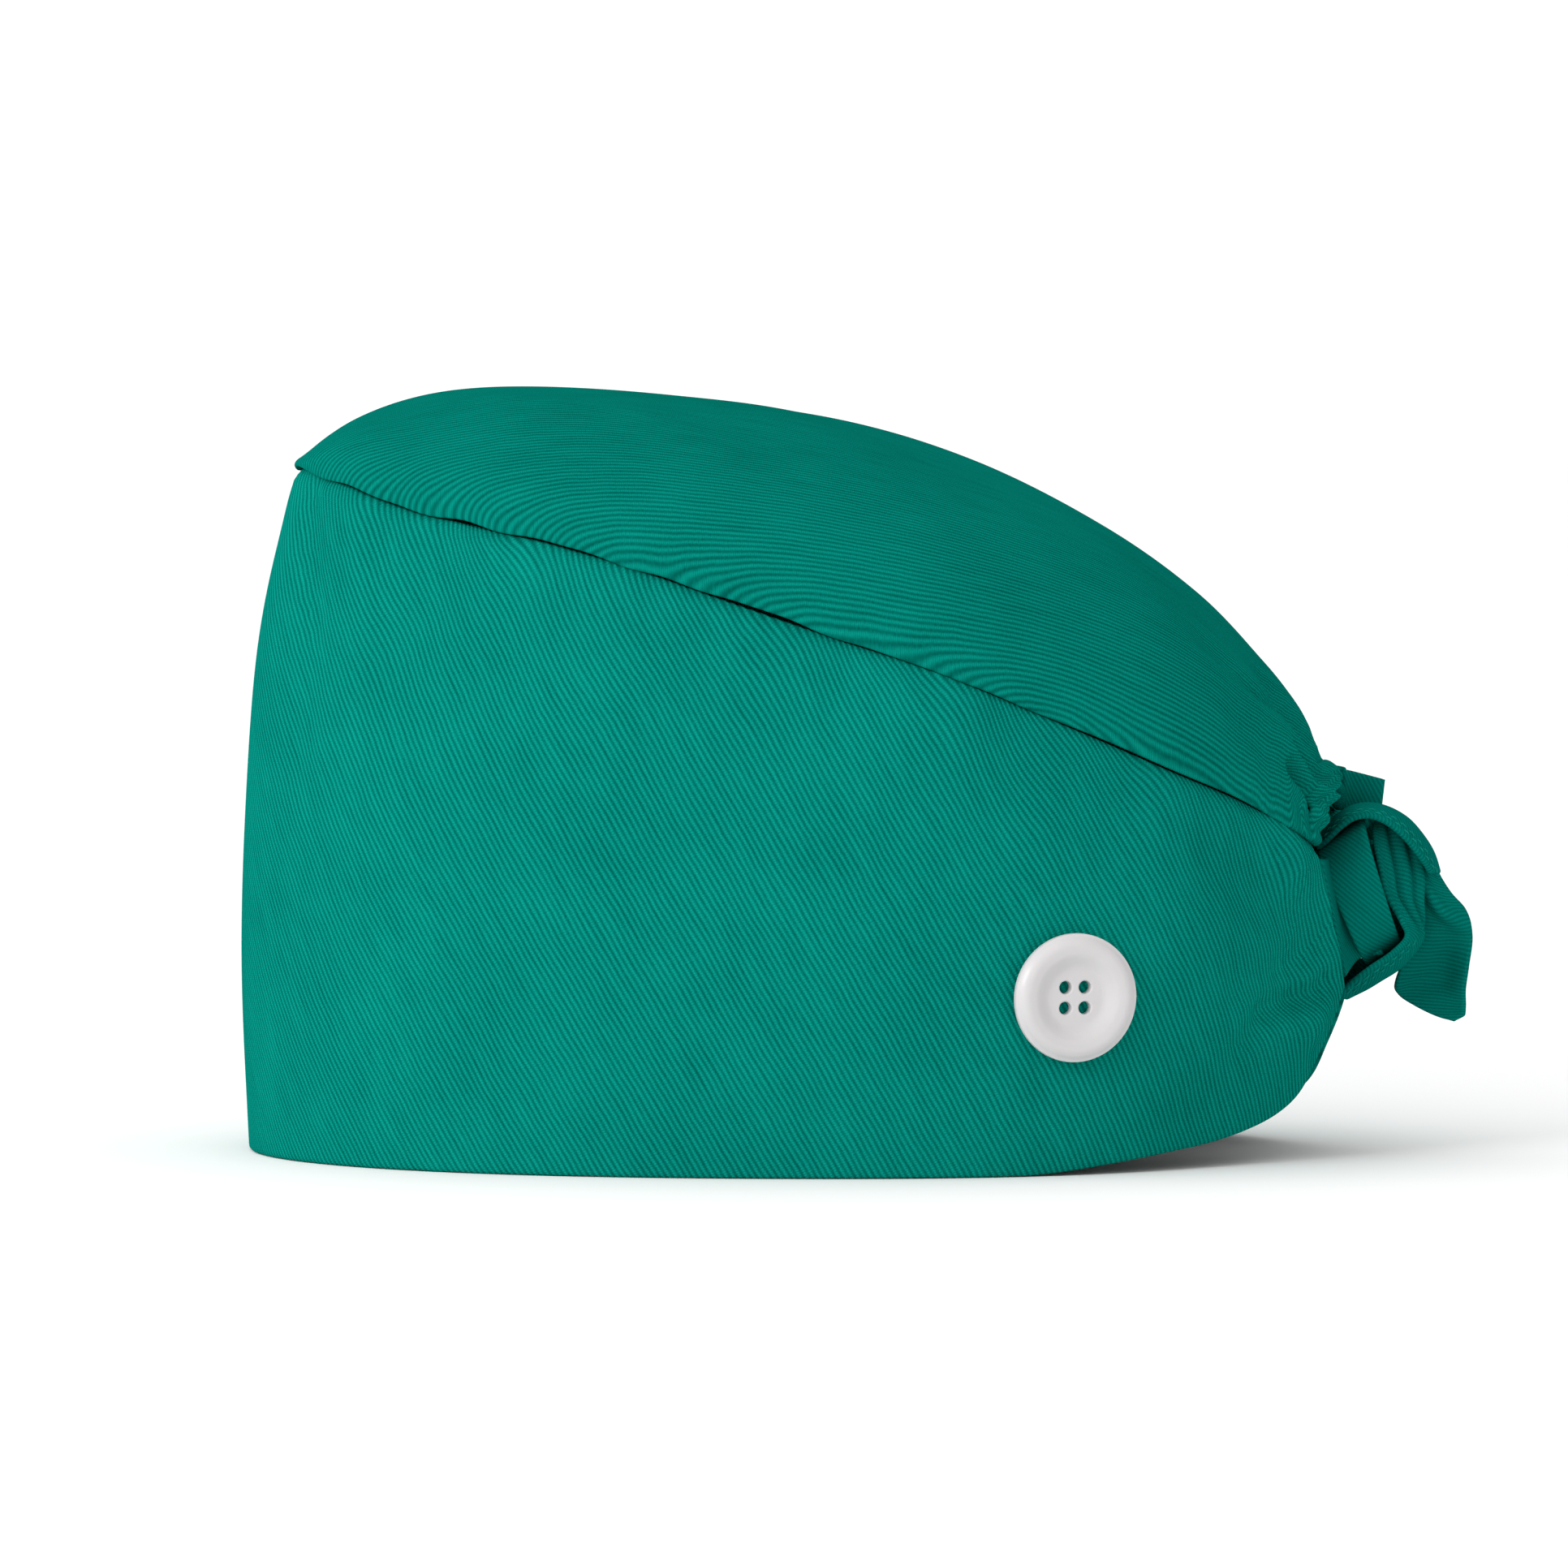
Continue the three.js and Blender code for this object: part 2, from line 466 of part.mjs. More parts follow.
function makeRightTie() {
  // Pleats start where the strap has turned up behind the wrap.
  const pleats = (row, across) =>
    0.035 * TIE_WIDTH * ramp(3.5, 5, row) * Math.cos(5 * Math.PI * across) * Math.sin(Math.PI * across);
  return joined([
    ribbonBody(strapRows(1, RIGHT_STRAP), 9, 3, TIE_WALL),
    bunchBody(),
    ribbonBody(ribbonRows(LOOP), 16, 8, TIE_WALL, pleats),
    ribbonBody(ribbonRows(ARCH), 14, 2, TIE_WALL),
    ribbonBody(ribbonRows(LONG_TAIL), 14, 4, TIE_WALL),
  ]);
}

// Half of a button's section, from the middle of its back, over the rim and the dish, to the middle of the floor.
// radius is a share of half BUTTON_DIAMETER and height of BUTTON_HEIGHT.
const BUTTON_SECTION = [
  { radius: 0.0, height: 0.0 },
  { radius: 0.87, height: 0.0 },
  { radius: 0.97, height: 0.22 },
  { radius: 1.0, height: 0.47 },
  { radius: 0.96, height: 0.75 },
  { radius: 0.89, height: 0.94 },
  { radius: 0.79, height: 1.0 },
  { radius: 0.65, height: 0.89 },
  { radius: 0.42, height: BUTTON_FLOOR_HEIGHT / BUTTON_HEIGHT },
  { radius: 0.0, height: BUTTON_FLOOR_HEIGHT / BUTTON_HEIGHT },
];

// A dished four-hole button with its back at the origin and its face up
function makeButton() {
  const sides = 32;
  const profile = BUTTON_SECTION.map(
    ({ radius, height }) => new THREE.Vector2((radius * BUTTON_DIAMETER) / 2, height * BUTTON_HEIGHT),
  );
  const blank = new THREE.LatheGeometry(profile, sides).rotateX(Math.PI / 2);
  const drill = new THREE.CylinderGeometry(BUTTON_HOLE_DIAMETER / 2, BUTTON_HOLE_DIAMETER / 2, 3 * BUTTON_HEIGHT, 12);
  drill.rotateX(Math.PI / 2);
  const plain = (geometry) => {
    const bare = geometry.clone();
    bare.deleteAttribute("normal");
    bare.deleteAttribute("uv");
    return toSolid(facingOut(mergeVertices(bare, 1e-4)));
  };
  const offset = BUTTON_HOLE_SPACING / 2;
  const holes = [-offset, offset].flatMap((x) => [-offset, offset].map((y) => [x, y, 0]));
  return toGeometry(holes.reduce((body, place) => body.subtract(plain(drill).translate(place)), plain(blank)));
}

// Where a button is sewn: the section and the share of the band's height
const BUTTON_PLACE = { section: 8.15, up: 0.41 };

function placeButton(mesh, side) {
  const place = side * BUTTON_PLACE.section;
  const outward = bandNormal(place, BUTTON_PLACE.up);
  mesh.position.copy(bandPoint(place, BUTTON_PLACE.up)).addScaledVector(outward, SEAM_GAP);
  const upright = new THREE.Vector3(0, 0, 1);
  const across = new THREE.Vector3().crossVectors(upright, outward).normalize();
  const vertical = new THREE.Vector3().crossVectors(outward, across);
  mesh.quaternion.setFromRotationMatrix(new THREE.Matrix4().makeBasis(across, vertical, outward));
}

function addPiece(group, name, geometry, color, roughness) {
  const mesh = new THREE.Mesh(geometry, new THREE.MeshStandardMaterial({ color, roughness, metalness: 0 }));
  mesh.name = name;
  group.add(mesh);
  return mesh;
}

const cap = new THREE.Group();
addPiece(cap, "side_band", makeBand(), TWILL, 0.85);
addPiece(cap, "crown", makeCrown(), TWILL, 0.85);
addPiece(cap, "elastic_casing", makeCasing(), TWILL, 0.85);
addPiece(cap, "left_tie", makeLeftTie(), TWILL_TIE, 0.85);
addPiece(cap, "right_tie", makeRightTie(), TWILL_TIE, 0.85);
placeButton(addPiece(cap, "left_button", makeButton(), BUTTON_WHITE, 0.35), -1);
placeButton(addPiece(cap, "right_button", makeButton(), BUTTON_WHITE, 0.35), 1);

// The origin is under the middle of the whole cap, on the surface that its rim stands on.
cap.updateMatrixWorld(true);
const extent = new THREE.Box3().setFromObject(cap, true);
const middle = extent.getCenter(new THREE.Vector3());
cap.position.set(-middle.x, -middle.y, -extent.min.z);

export default cap;
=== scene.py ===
"""Looks of a tie-back scrub cap in green twill, standing puffed out on its rim.

The cloth follows the same named sizes and tables as the CAD, on a finer grid, with puckers, folds and
stitches on top. Lengths are in millimetres, and MM turns them into metres. X runs from the forehead to the
knot, Y from the wearer's left to the right, Z is up."""

import bmesh
import bpy
import numpy as np
from mathutils import Matrix, Vector


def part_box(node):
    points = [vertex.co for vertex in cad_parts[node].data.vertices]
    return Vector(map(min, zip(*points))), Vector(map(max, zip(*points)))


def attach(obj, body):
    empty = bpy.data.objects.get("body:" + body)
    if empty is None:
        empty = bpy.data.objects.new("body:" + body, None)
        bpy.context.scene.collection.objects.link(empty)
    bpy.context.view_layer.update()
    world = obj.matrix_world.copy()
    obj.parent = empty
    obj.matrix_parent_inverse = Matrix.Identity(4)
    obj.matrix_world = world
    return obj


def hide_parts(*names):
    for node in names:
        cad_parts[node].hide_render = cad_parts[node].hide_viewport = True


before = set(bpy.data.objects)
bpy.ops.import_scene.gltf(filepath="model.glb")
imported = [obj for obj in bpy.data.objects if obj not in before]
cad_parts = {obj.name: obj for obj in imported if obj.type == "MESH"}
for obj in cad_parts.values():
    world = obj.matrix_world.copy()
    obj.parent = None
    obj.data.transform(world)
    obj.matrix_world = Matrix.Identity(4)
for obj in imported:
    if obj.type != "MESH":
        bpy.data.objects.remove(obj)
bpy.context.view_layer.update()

MM = 0.001

# Driving dimensions, as in the CAD
CAP_LENGTH = 220
RIM_WIDTH = 164
FRONT_HEIGHT = 135
CROWN_RISE = 38.5
NOTCH_HEIGHT = 33.5
BAND_BELLY = 6
CROWN_PUFF = 2.4
CROWN_OVERHANG = 0.6
BAND_WALL = 1.6
CROWN_WALL = 1.2
CASING_HEM = 2.0  # thinner than in the CAD, where the hem also stands for its elastic
GATHER_DEPTH = 1.3
GATHER_COUNT = 8
TIE_WIDTH = 25
TIE_WALL = 1.3
BUTTON_DIAMETER = 25
BUTTON_HEIGHT = 3.6
BUTTON_FLOOR_HEIGHT = 1.9
BUTTON_HOLE_DIAMETER = 2.5
BUTTON_HOLE_SPACING = 4
SEAM_GAP = 0.3

# Grids
BAND_COLUMNS = 430
BAND_ROWS = 100
CROWN_SECTIONS = 270
CROWN_COLUMNS = 160


def table(columns, *rows):
    """One array for each named column."""
    return dict(zip(columns.split(), np.array(rows, float).T))


# Half of the cap, one row for each section from the forehead to the end of the band at the nape. X values are
# shares of CAP_LENGTH, Y of half RIM_WIDTH, rim_z of NOTCH_HEIGHT, seam_z of FRONT_HEIGHT, rise of CROWN_RISE
# and belly of BAND_BELLY.
SECTIONS = table(
    "rim_x rim_y rim_z seam_x seam_y seam_z rise ridge_shift belly",
    (0.004, 0.0, 0.0, 0.05, 0.0, 0.999, 0.0, 0.0, 1.0),
    (0.019, 0.293, 0.0, 0.065, 0.265, 1.006, 0.065, 0.0, 1.0),
    (0.063, 0.533, 0.0, 0.109, 0.48, 0.985, 0.33, 0.0, 1.0),
    (0.133, 0.729, 0.0, 0.178, 0.659, 0.949, 0.575, 0.0, 0.95),
    (0.227, 0.877, 0.0, 0.271, 0.791, 0.917, 0.72, 0.0, 0.9),
    (0.342, 0.97, 0.0, 0.385, 0.874, 0.87, 0.851, 0.0, 0.85),
    (0.481, 1.0, 0.0, 0.523, 0.902, 0.794, 1.005, 0.0, 0.8),
    (0.621, 0.97, 0.0, 0.661, 0.874, 0.715, 1.041, 0.0, 0.8),
    (0.735, 0.877, 0.0, 0.775, 0.791, 0.638, 0.988, 0.0, 0.8),
    (0.83, 0.726, 0.075, 0.857, 0.671, 0.576, 0.873, 0.0, 0.75),
    (0.907, 0.512, 0.165, 0.916, 0.518, 0.529, 0.69, 0.0, 0.6),
    (0.957, 0.311, 0.33, 0.953, 0.396, 0.488, 0.57, 0.001, 0.45),
    (0.982, 0.213, 0.627, 0.969, 0.329, 0.468, 0.43, 0.005, 0.35),
    (1.003, 0.152, 1.0, 0.978, 0.293, 0.455, 0.31, 0.011, 0.25),
)
LAST_SECTION = len(SECTIONS["rise"]) - 1
CASING_START = 12.4
GATHER_START = 10.2

# Soft folds of the band on both sides, as in the CAD
BAND_FOLDS = table(
    "section up reach tall lean depth",
    (1.3, 0.86, 0.5, 0.2, 0.6, 0.25),
    (3.2, 0.8, 0.8, 0.16, -2.2, -0.35),
    (6.6, 0.72, 1.4, 0.14, -3.0, -0.25),
    (11.2, 0.6, 0.9, 0.22, 1.5, -0.3),
    (11.0, 0.16, 1.2, 0.14, 2.5, 0.3),
)
CROWN_FOLDS = table(
    "section across reach wide depth",
    (3.5, 0.62, 2.4, 0.05, 0.6),
    (11.2, 0.42, 1.4, 0.045, -1.1),
    (11.4, 0.62, 1.2, 0.05, -0.9),
    (11.5, 0.2, 0.8, 0.05, -0.8),
    (11.5, 0.8, 0.8, 0.05, -0.8),
)

# Creases like those of the photo's near side, finer than the CAD's folds. Each runs from one place to
# another: section and up on the band, section and across on the crown. wide is half the width in
# millimetres, and depth is below 0 in a valley.
BAND_CREASES = table(
    "from_section from_up to_section to_up wide depth",
    (1.5, 0.98, 2.05, 0.8, 4.5, -1.71),
    (2.05, 0.8, 2.1, 0.58, 6.0, -1.14),
    (2.5, 0.96, 2.7, 0.8, 4.0, 0.95),
    (3.7, 0.95, 3.05, 0.76, 7.0, -1.71),
    (4.3, 0.97, 4.5, 0.82, 5.0, 0.95),
    (5.3, 0.9, 6.2, 0.84, 11.0, -1.9),
    (6.8, 0.95, 7.6, 0.86, 9.0, 1.33),
    (9.6, 0.8, 11.4, 0.66, 8.0, -1.9),
    (10.6, 0.93, 11.6, 0.84, 5.0, 1.9),
    (12.4, 0.5, 10.9, 0.49, 4.0, -2.28),
    (10.9, 0.49, 9.9, 0.46, 5.0, -1.71),
    (12.3, 0.27, 11.15, 0.38, 2.6, -2.85),
    (11.15, 0.38, 10.4, 0.37, 3.0, -2.66),
    (10.4, 0.37, 10.0, 0.27, 3.5, -1.9),
    (12.0, 0.2, 10.9, 0.3, 4.5, 1.71),
    (10.6, 0.22, 9.4, 0.1, 7.0, -1.33),
)
CROWN_CREASES = table(
    "from_section from_across to_section to_across wide depth",
    (9.3, 0.3, 10.1, 0.325, 3.5, -1.36),
    (10.1, 0.325, 10.8, 0.38, 3.0, -2.21),
    (10.8, 0.38, 12.2, 0.41, 3.0, -2.72),
    (10.3, 0.46, 12.3, 0.49, 3.5, -3.06),
    (11.3, 0.22, 12.4, 0.13, 1.7, -2.72),
    (9.9, 0.17, 11.1, 0.14, 5.0, -1.53),
    (11.2, 0.3, 12.4, 0.29, 2.2, -2.04),
    (11.5, 0.66, 12.4, 0.68, 2.4, -2.38),
    (11.0, 0.78, 12.4, 0.84, 2.6, -2.21),
    (3.4, 0.35, 5.2, 0.3, 9.0, 1.19),
    (3.0, 0.2, 4.6, 0.15, 8.0, -1.02),
)

# Ribbons of the knot. Each row has its two edge points a and b as back, side and up shares of TIE_WIDTH from
# the knot's centre, and its cup.
RIBBON = "a_back a_side a_up b_back b_side b_up cup"
LEFT_STRAP = table(
    RIBBON,
    (0.1, -0.4, -0.34, -0.16, -0.44, 0.46, 0.0),
    (0.29, -0.36, -0.31, 0.0, -0.36, 0.56, 0.0),
)
RIGHT_STRAP = table(
    RIBBON,
    (0.0, 0.4, -0.48, -0.25, 0.47, 0.34, 0.02),
    (0.06, 0.22, -0.2, -0.15, 0.27, 0.325, 0.0),
    (0.18, 0.1, -0.14, 0.06, 0.14, 0.42, 0.0),
)
SHORT_TAIL = table(
    RIBBON,
    (-0.1, 0.32, 0.58, -0.07, 0.3, 1.135, 0.02),
    (0.0, 0.32, 0.57, 0.0, 0.34, 1.12, 0.03),
    (0.16, 0.28, 0.57, 0.2, 0.32, 1.07, 0.03),
    (0.22, 0.28, 0.58, 0.27, 0.32, 1.05, 0.02),
)
LOOP = table(
    RIBBON,
    (-0.09, -0.34, -0.63, -0.15, 0.36, -0.5, -0.13),
    (0.05, -0.42, -0.51, 0.0, 0.36, -0.41, -0.16),
    (0.19, -0.5, -0.4, 0.15, 0.34, -0.37, -0.15),
    (0.35, -0.5, -0.29, 0.33, 0.28, -0.3, -0.13),
    (0.47, -0.48, -0.16, 0.52, 0.1, -0.16, -0.08),
    (0.43, -0.44, -0.03, 0.59, -0.08, -0.06, 0.0),
    (0.31, -0.42, 0.18, 0.6, -0.16, 0.11, 0.04),
    (0.26, -0.38, 0.37, 0.6, -0.12, 0.3, 0.03),
    (0.22, -0.32, 0.54, 0.56, -0.06, 0.47, 0.02),
    (0.2, -0.24, 0.66, 0.49, 0.0, 0.62, 0.01),
    (0.19, -0.14, 0.73, 0.39, 0.06, 0.74, 0.0),
)
ARCH = table(
    RIBBON,
    (-0.24, -0.3, 0.52, -0.25, 0.1, 0.64, 0.0),
    (-0.15, -0.36, 0.6, -0.16, 0.12, 0.72, 0.01),
    (-0.05, -0.42, 0.7, -0.06, 0.12, 0.79, 0.02),
    (0.05, -0.44, 0.77, 0.04, 0.11, 0.84, 0.02),
    (0.17, -0.44, 0.79, 0.17, 0.1, 0.855, 0.02),
    (0.29, -0.44, 0.75, 0.31, 0.1, 0.82, 0.03),
    (0.4, -0.42, 0.67, 0.45, 0.1, 0.74, 0.03),
    (0.51, -0.38, 0.55, 0.56, 0.1, 0.62, 0.03),
    (0.59, -0.34, 0.44, 0.65, 0.1, 0.48, 0.02),
    (0.66, -0.24, 0.33, 0.71, 0.08, 0.31, 0.0),
)
LONG_TAIL = table(
    RIBBON,
    (0.7, -0.1, 0.35, 0.47, -0.02, 0.42, 0.0),
    (0.81, 0.02, 0.17, 0.51, 0.0, 0.12, -0.03),
    (0.93, 0.1, 0.02, 0.48, 0.12, -0.2, -0.03),
    (0.975, 0.16, -0.18, 0.36, 0.2, -0.55, 0.04),
    (0.945, 0.18, -0.42, 0.38, 0.26, -0.66, 0.06),
    (0.92, 0.18, -0.6, 0.51, 0.26, -0.75, 0.04),
    (0.92, 0.18, -0.73, 0.68, 0.24, -0.83, 0.02),
    (0.915, 0.16, -0.82, 0.83, 0.2, -0.87, 0.0),
)
# Lumps of pleated cloth inside the knot, in shares of TIE_WIDTH from the knot's centre
BUNCH = {"centre": (0.19, 0.03, 0.17), "reach": (0.42, 0.29, 0.36), "pleats": 7, "depth": 0.08}
# A little more cloth, tucked into the corner where the loop turns up beside the wrap
TUCKED_CLOTH = {"centre": (0.49, 0.12, -0.14), "reach": (0.09, 0.16, 0.12), "pleats": 3, "depth": 0.1}
# And some at the foot of the short tail, under the casing
TAIL_FOOT = {"centre": (-0.1, 0.3, 0.92), "reach": (0.07, 0.08, 0.11), "pleats": 3, "depth": 0.1}
STITCH = {"pitch": 2.3, "length": 1.7, "radius": 0.2, "first_line": 1.3, "between_lines": 1.6}
WRAP = {
    "centre": (0.112, -0.06, 0.165),
    "half_height": 0.52,
    "half_depth": 0.53,
    "width_top": 0.46,
    "width_foot": 0.34,
    "lean": np.radians(21),
    "edge_lean": np.radians(36),
}
BUTTON_PLACE = {"section": 8.15, "up": 0.41}

# Seeds of the ripples, one for each use
SEEDS = {
    "band_pucker": 3,
    "band_fine": 4,
    "band_soft": 5,
    "band_sway": 8,
    "crown_hooks": 12,
    "crown_pucker": 21,
    "crown_soft": 23,
    "crown_edge": 27,
    "ruffles": 41,
    "fine_ruffles": 43,
}


def smooth(values, at, odd=False):
    """A column at fractional rows, on a smooth curve.

    Before row 0 it is mirrored, with its sign changed if odd."""
    before = (-1 if odd else 1) * values[2:0:-1]
    after = 2 * values[-1] - values[-2:-4:-1]
    padded = np.concatenate([np.resize(before, 2), values, np.resize(after, 2)])
    at = np.asarray(at, float)
    i = np.minimum(np.floor(at), len(values) - 2).astype(int)
    t = at - i
    a, b, c, d = (padded[i + k] for k in (1, 2, 3, 4))
    return b + 0.5 * t * (c - a + t * (2 * a - 5 * b + 4 * c - d + t * (3 * (b - c) + d - a)))


def bump(x):
    return np.exp(-x * x)


def rounded(x, power):
    return np.sign(x) * np.abs(x) ** power


def ramp(start, end, at):
    t = np.clip((at - start) / (end - start), 0, 1)
    return t * t * (3 - 2 * t)


def mix(a, b, share):
    return a + (b - a) * share


def unit(v):
    return v / np.maximum(np.linalg.norm(v, axis=-1, keepdims=True), 1e-12)


def ripples(x, y, wave, seed, count=7):
    """Soft irregular waves of about the given length, from -1 to 1."""
    draw = np.random.default_rng(seed)
    total = 0.0
    for angle, phase, stretch in draw.random((count, 3)):
        turn = 2 * np.pi * angle
        total = total + np.sin(
            2 * np.pi * ((x * np.cos(turn) + y * np.sin(turn)) / (wave * (0.7 + 0.6 * stretch)) + phase)
        )
    return total / np.sqrt(2 * count)


def rim_point(section):
    return np.stack(
        [
            smooth(SECTIONS["rim_x"], section) * CAP_LENGTH,
            smooth(SECTIONS["rim_y"], section, True) * RIM_WIDTH / 2,
            np.maximum(0, smooth(SECTIONS["rim_z"], section)) * NOTCH_HEIGHT,
        ],
        -1,
    )


def seam_point(section):
    return np.stack(
        [
            smooth(SECTIONS["seam_x"], section) * CAP_LENGTH,
            smooth(SECTIONS["seam_y"], section, True) * RIM_WIDTH / 2,
            smooth(SECTIONS["seam_z"], section) * FRONT_HEIGHT,
        ],
        -1,
    )


def plan_outward(section):
    step = 0.05
    along = rim_point(section + step) + seam_point(section + step)
    along = along - rim_point(section - step) - seam_point(section - step)
    return unit(np.stack([-along[..., 1], along[..., 0], 0 * along[..., 0]], -1))


def band_point(place, up):
    """Outer face of the band, as in the CAD. place is below 0 on the wearer's left."""
    section = np.abs(place)
    bow = np.abs(np.sin(np.pi * np.abs(up) ** 1.25)) ** 0.7 * smooth(SECTIONS["belly"], section)
    folds = 0.0
    for s, u, reach, tall, lean, depth in zip(*BAND_FOLDS.values()):
        folds = folds + depth * bump((section - s - lean * (up - u)) / reach) * bump((up - u) / tall)
    point = mix(rim_point(section), seam_point(section), up[..., None])
    point = point + plan_outward(section) * ((bow + folds * np.sin(np.pi * up)) * BAND_BELLY)[..., None]
    point[..., 1] *= np.where(place < 0, -1, 1)
    return point


def dome_point(section, across):
    """The crown's dome before it is gathered, as in the CAD."""
    fullness = 0.88
    side = -rounded(np.cos(np.pi * across), fullness)
    up = rounded(np.sin(np.pi * across), fullness)
    puff = CROWN_PUFF * np.sin(np.pi * across) * ramp(0, 2, section) * (1 - ramp(10, LAST_SECTION, section))
    seam = seam_point(section)
    seam = seam + plan_outward(section) * (CROWN_OVERHANG + puff * np.abs(side))[..., None]
    return np.stack(
        [
            seam[..., 0] + smooth(SECTIONS["ridge_shift"], section) * CAP_LENGTH * up,
            seam[..., 1] * side,
            seam[..., 2] + SEAM_GAP + smooth(SECTIONS["rise"], section) * CROWN_RISE * up,
        ],
        -1,
    )


def grid_normal(points, loop=False):
    """Unit normals of a grid of points by differences."""
    if loop:
        along = np.roll(points, -1, 0) - np.roll(points, 1, 0)
    else:
        along = np.gradient(points, axis=0)
    return unit(np.cross(along, np.gradient(points, axis=1)))


def edged(count, reach):
    """Shares from 0 to 1, with extra ones near both ends so that an edge comes out round."""
    near = reach * (1 - np.cos(np.radians([0, 30, 60, 90])))
    return np.concatenate([near, np.linspace(reach, 1 - reach, count)[1:-1], 1 - near[::-1]])


def nearest(lines, at):
    """Number of the grid line that is nearest to each place."""
    return np.interp(at, lines, np.arange(len(lines))).round().astype(int)


def crease_depths(points, places, ups, rows):
    """Depth of a table of creases at each point of a grid whose columns and rows stand at places and ups."""
    steps = np.linspace(0, 1, 16)
    total = 0.0
    for from_place, from_up, to_place, to_up, wide, depth in zip(*rows.values()):
        i = nearest(places, mix(from_place, to_place, steps))
        j = nearest(ups, mix(from_up, to_up, steps))
        line = points[i, j]
        low, high = line.min(0) - 4 * wide, line.max(0) + 4 * wide
        near = np.all((points > low) & (points < high), axis=-1)
        away = np.linalg.norm(points[near][:, None] - line[None], axis=-1)
        taper = np.sin(np.pi * mix(0.12, 0.88, steps[away.argmin(1)])) ** 0.5
        added = np.zeros(points.shape[:2])
        added[near] = depth * taper * bump(away.min(1) / wide)
        total = total + added
    return total


def run_lengths(points, axis):
    """Distance along a grid from its start, along one axis."""
    step = np.linalg.norm(np.diff(points, axis=axis), axis=-1)
    zero = np.zeros_like(np.take(step, [0], axis))
    return np.cumsum(np.concatenate([zero, step], axis), axis)


def edge_distance(points, axis):
    run = run_lengths(points, axis)
    return np.minimum(run, np.take(run, [-1], axis) - run)


def grid_quads(columns, rows, loop=None):
    """Faces between neighbours on a grid of numbered points, closed along one axis if loop names it."""
    at = np.arange(columns * rows).reshape(columns, rows)
    if loop is not None:
        at = np.concatenate([at, np.take(at, [0], loop)], loop)
    return np.stack([at[:-1, :-1], at[1:, :-1], at[1:, 1:], at[:-1, 1:]], -1).reshape(-1, 4)


def sheet_body(middle, wall, weave, normal=None, loop=False):
    """A sheet of cloth round a grid of middle points, with round edges.

    A body is its points, its faces and the place of each point in the weave."""
    if normal is None:
        normal = grid_normal(middle, loop)
    fullness = 1.0
    for axis in (1,) if loop else (0, 1):
        inside = np.clip(edge_distance(middle, axis) / (wall / 2), 0, 1)
        fullness = fullness * np.sqrt(1 - (1 - inside) ** 2)
    away = normal * (fullness * wall / 2)[..., None]
    columns, rows = middle.shape[:2]
    quads = grid_quads(columns, rows, 0 if loop else None)
    points = np.concatenate([(middle + away).reshape(-1, 3), (middle - away).reshape(-1, 3)])
    faces = np.concatenate([quads, quads[:, ::-1] + columns * rows])
    return points, faces, np.concatenate([weave.reshape(-1, 2)] * 2)


def joined(bodies):
    """Several bodies as one."""
    starts = np.cumsum([0] + [len(points) for points, _, _ in bodies])
    points, faces, weave = zip(*bodies)
    faces = [f + start for f, start in zip(faces, starts)]
    return np.concatenate(points), np.concatenate(faces), np.concatenate(weave)


def linked(name, mesh):
    """A new object in the scene."""
    obj = bpy.data.objects.new(name, mesh)
    bpy.context.scene.collection.objects.link(obj)
    return obj


def clean(mesh, merge):
    """Joins points that are closer than merge, in metres, and turns the faces outwards."""
    work = bmesh.new()
    work.from_mesh(mesh)
    bmesh.ops.remove_doubles(work, verts=work.verts, dist=merge)
    bmesh.ops.recalc_face_normals(work, faces=work.faces)
    work.to_mesh(mesh)
    work.free()


def make_object(name, body, material):
    """A smooth mesh object from a body in millimetres, moved by shift into the part's frame."""
    points, faces, weave = body
    mesh = bpy.data.meshes.new(name)
    mesh.from_pydata((points * MM + np.array(shift)).tolist(), [], faces.tolist())
    places = mesh.attributes.new("weave", "FLOAT_VECTOR", "POINT")
    places.data.foreach_set("vector", np.c_[weave, 0 * weave[:, 0]].ravel())
    mesh.materials.append(material)
    clean(mesh, 2e-6)
    mesh.shade_smooth()
    return linked(name, mesh)


# Materials

def srgb(*display):
    """Display values from 0 to 255 as linear light."""
    linear = [((c / 255 + 0.055) / 1.055) ** 2.4 if c > 10 else c / 255 / 12.92 for c in display]
    return (*linear, 1)


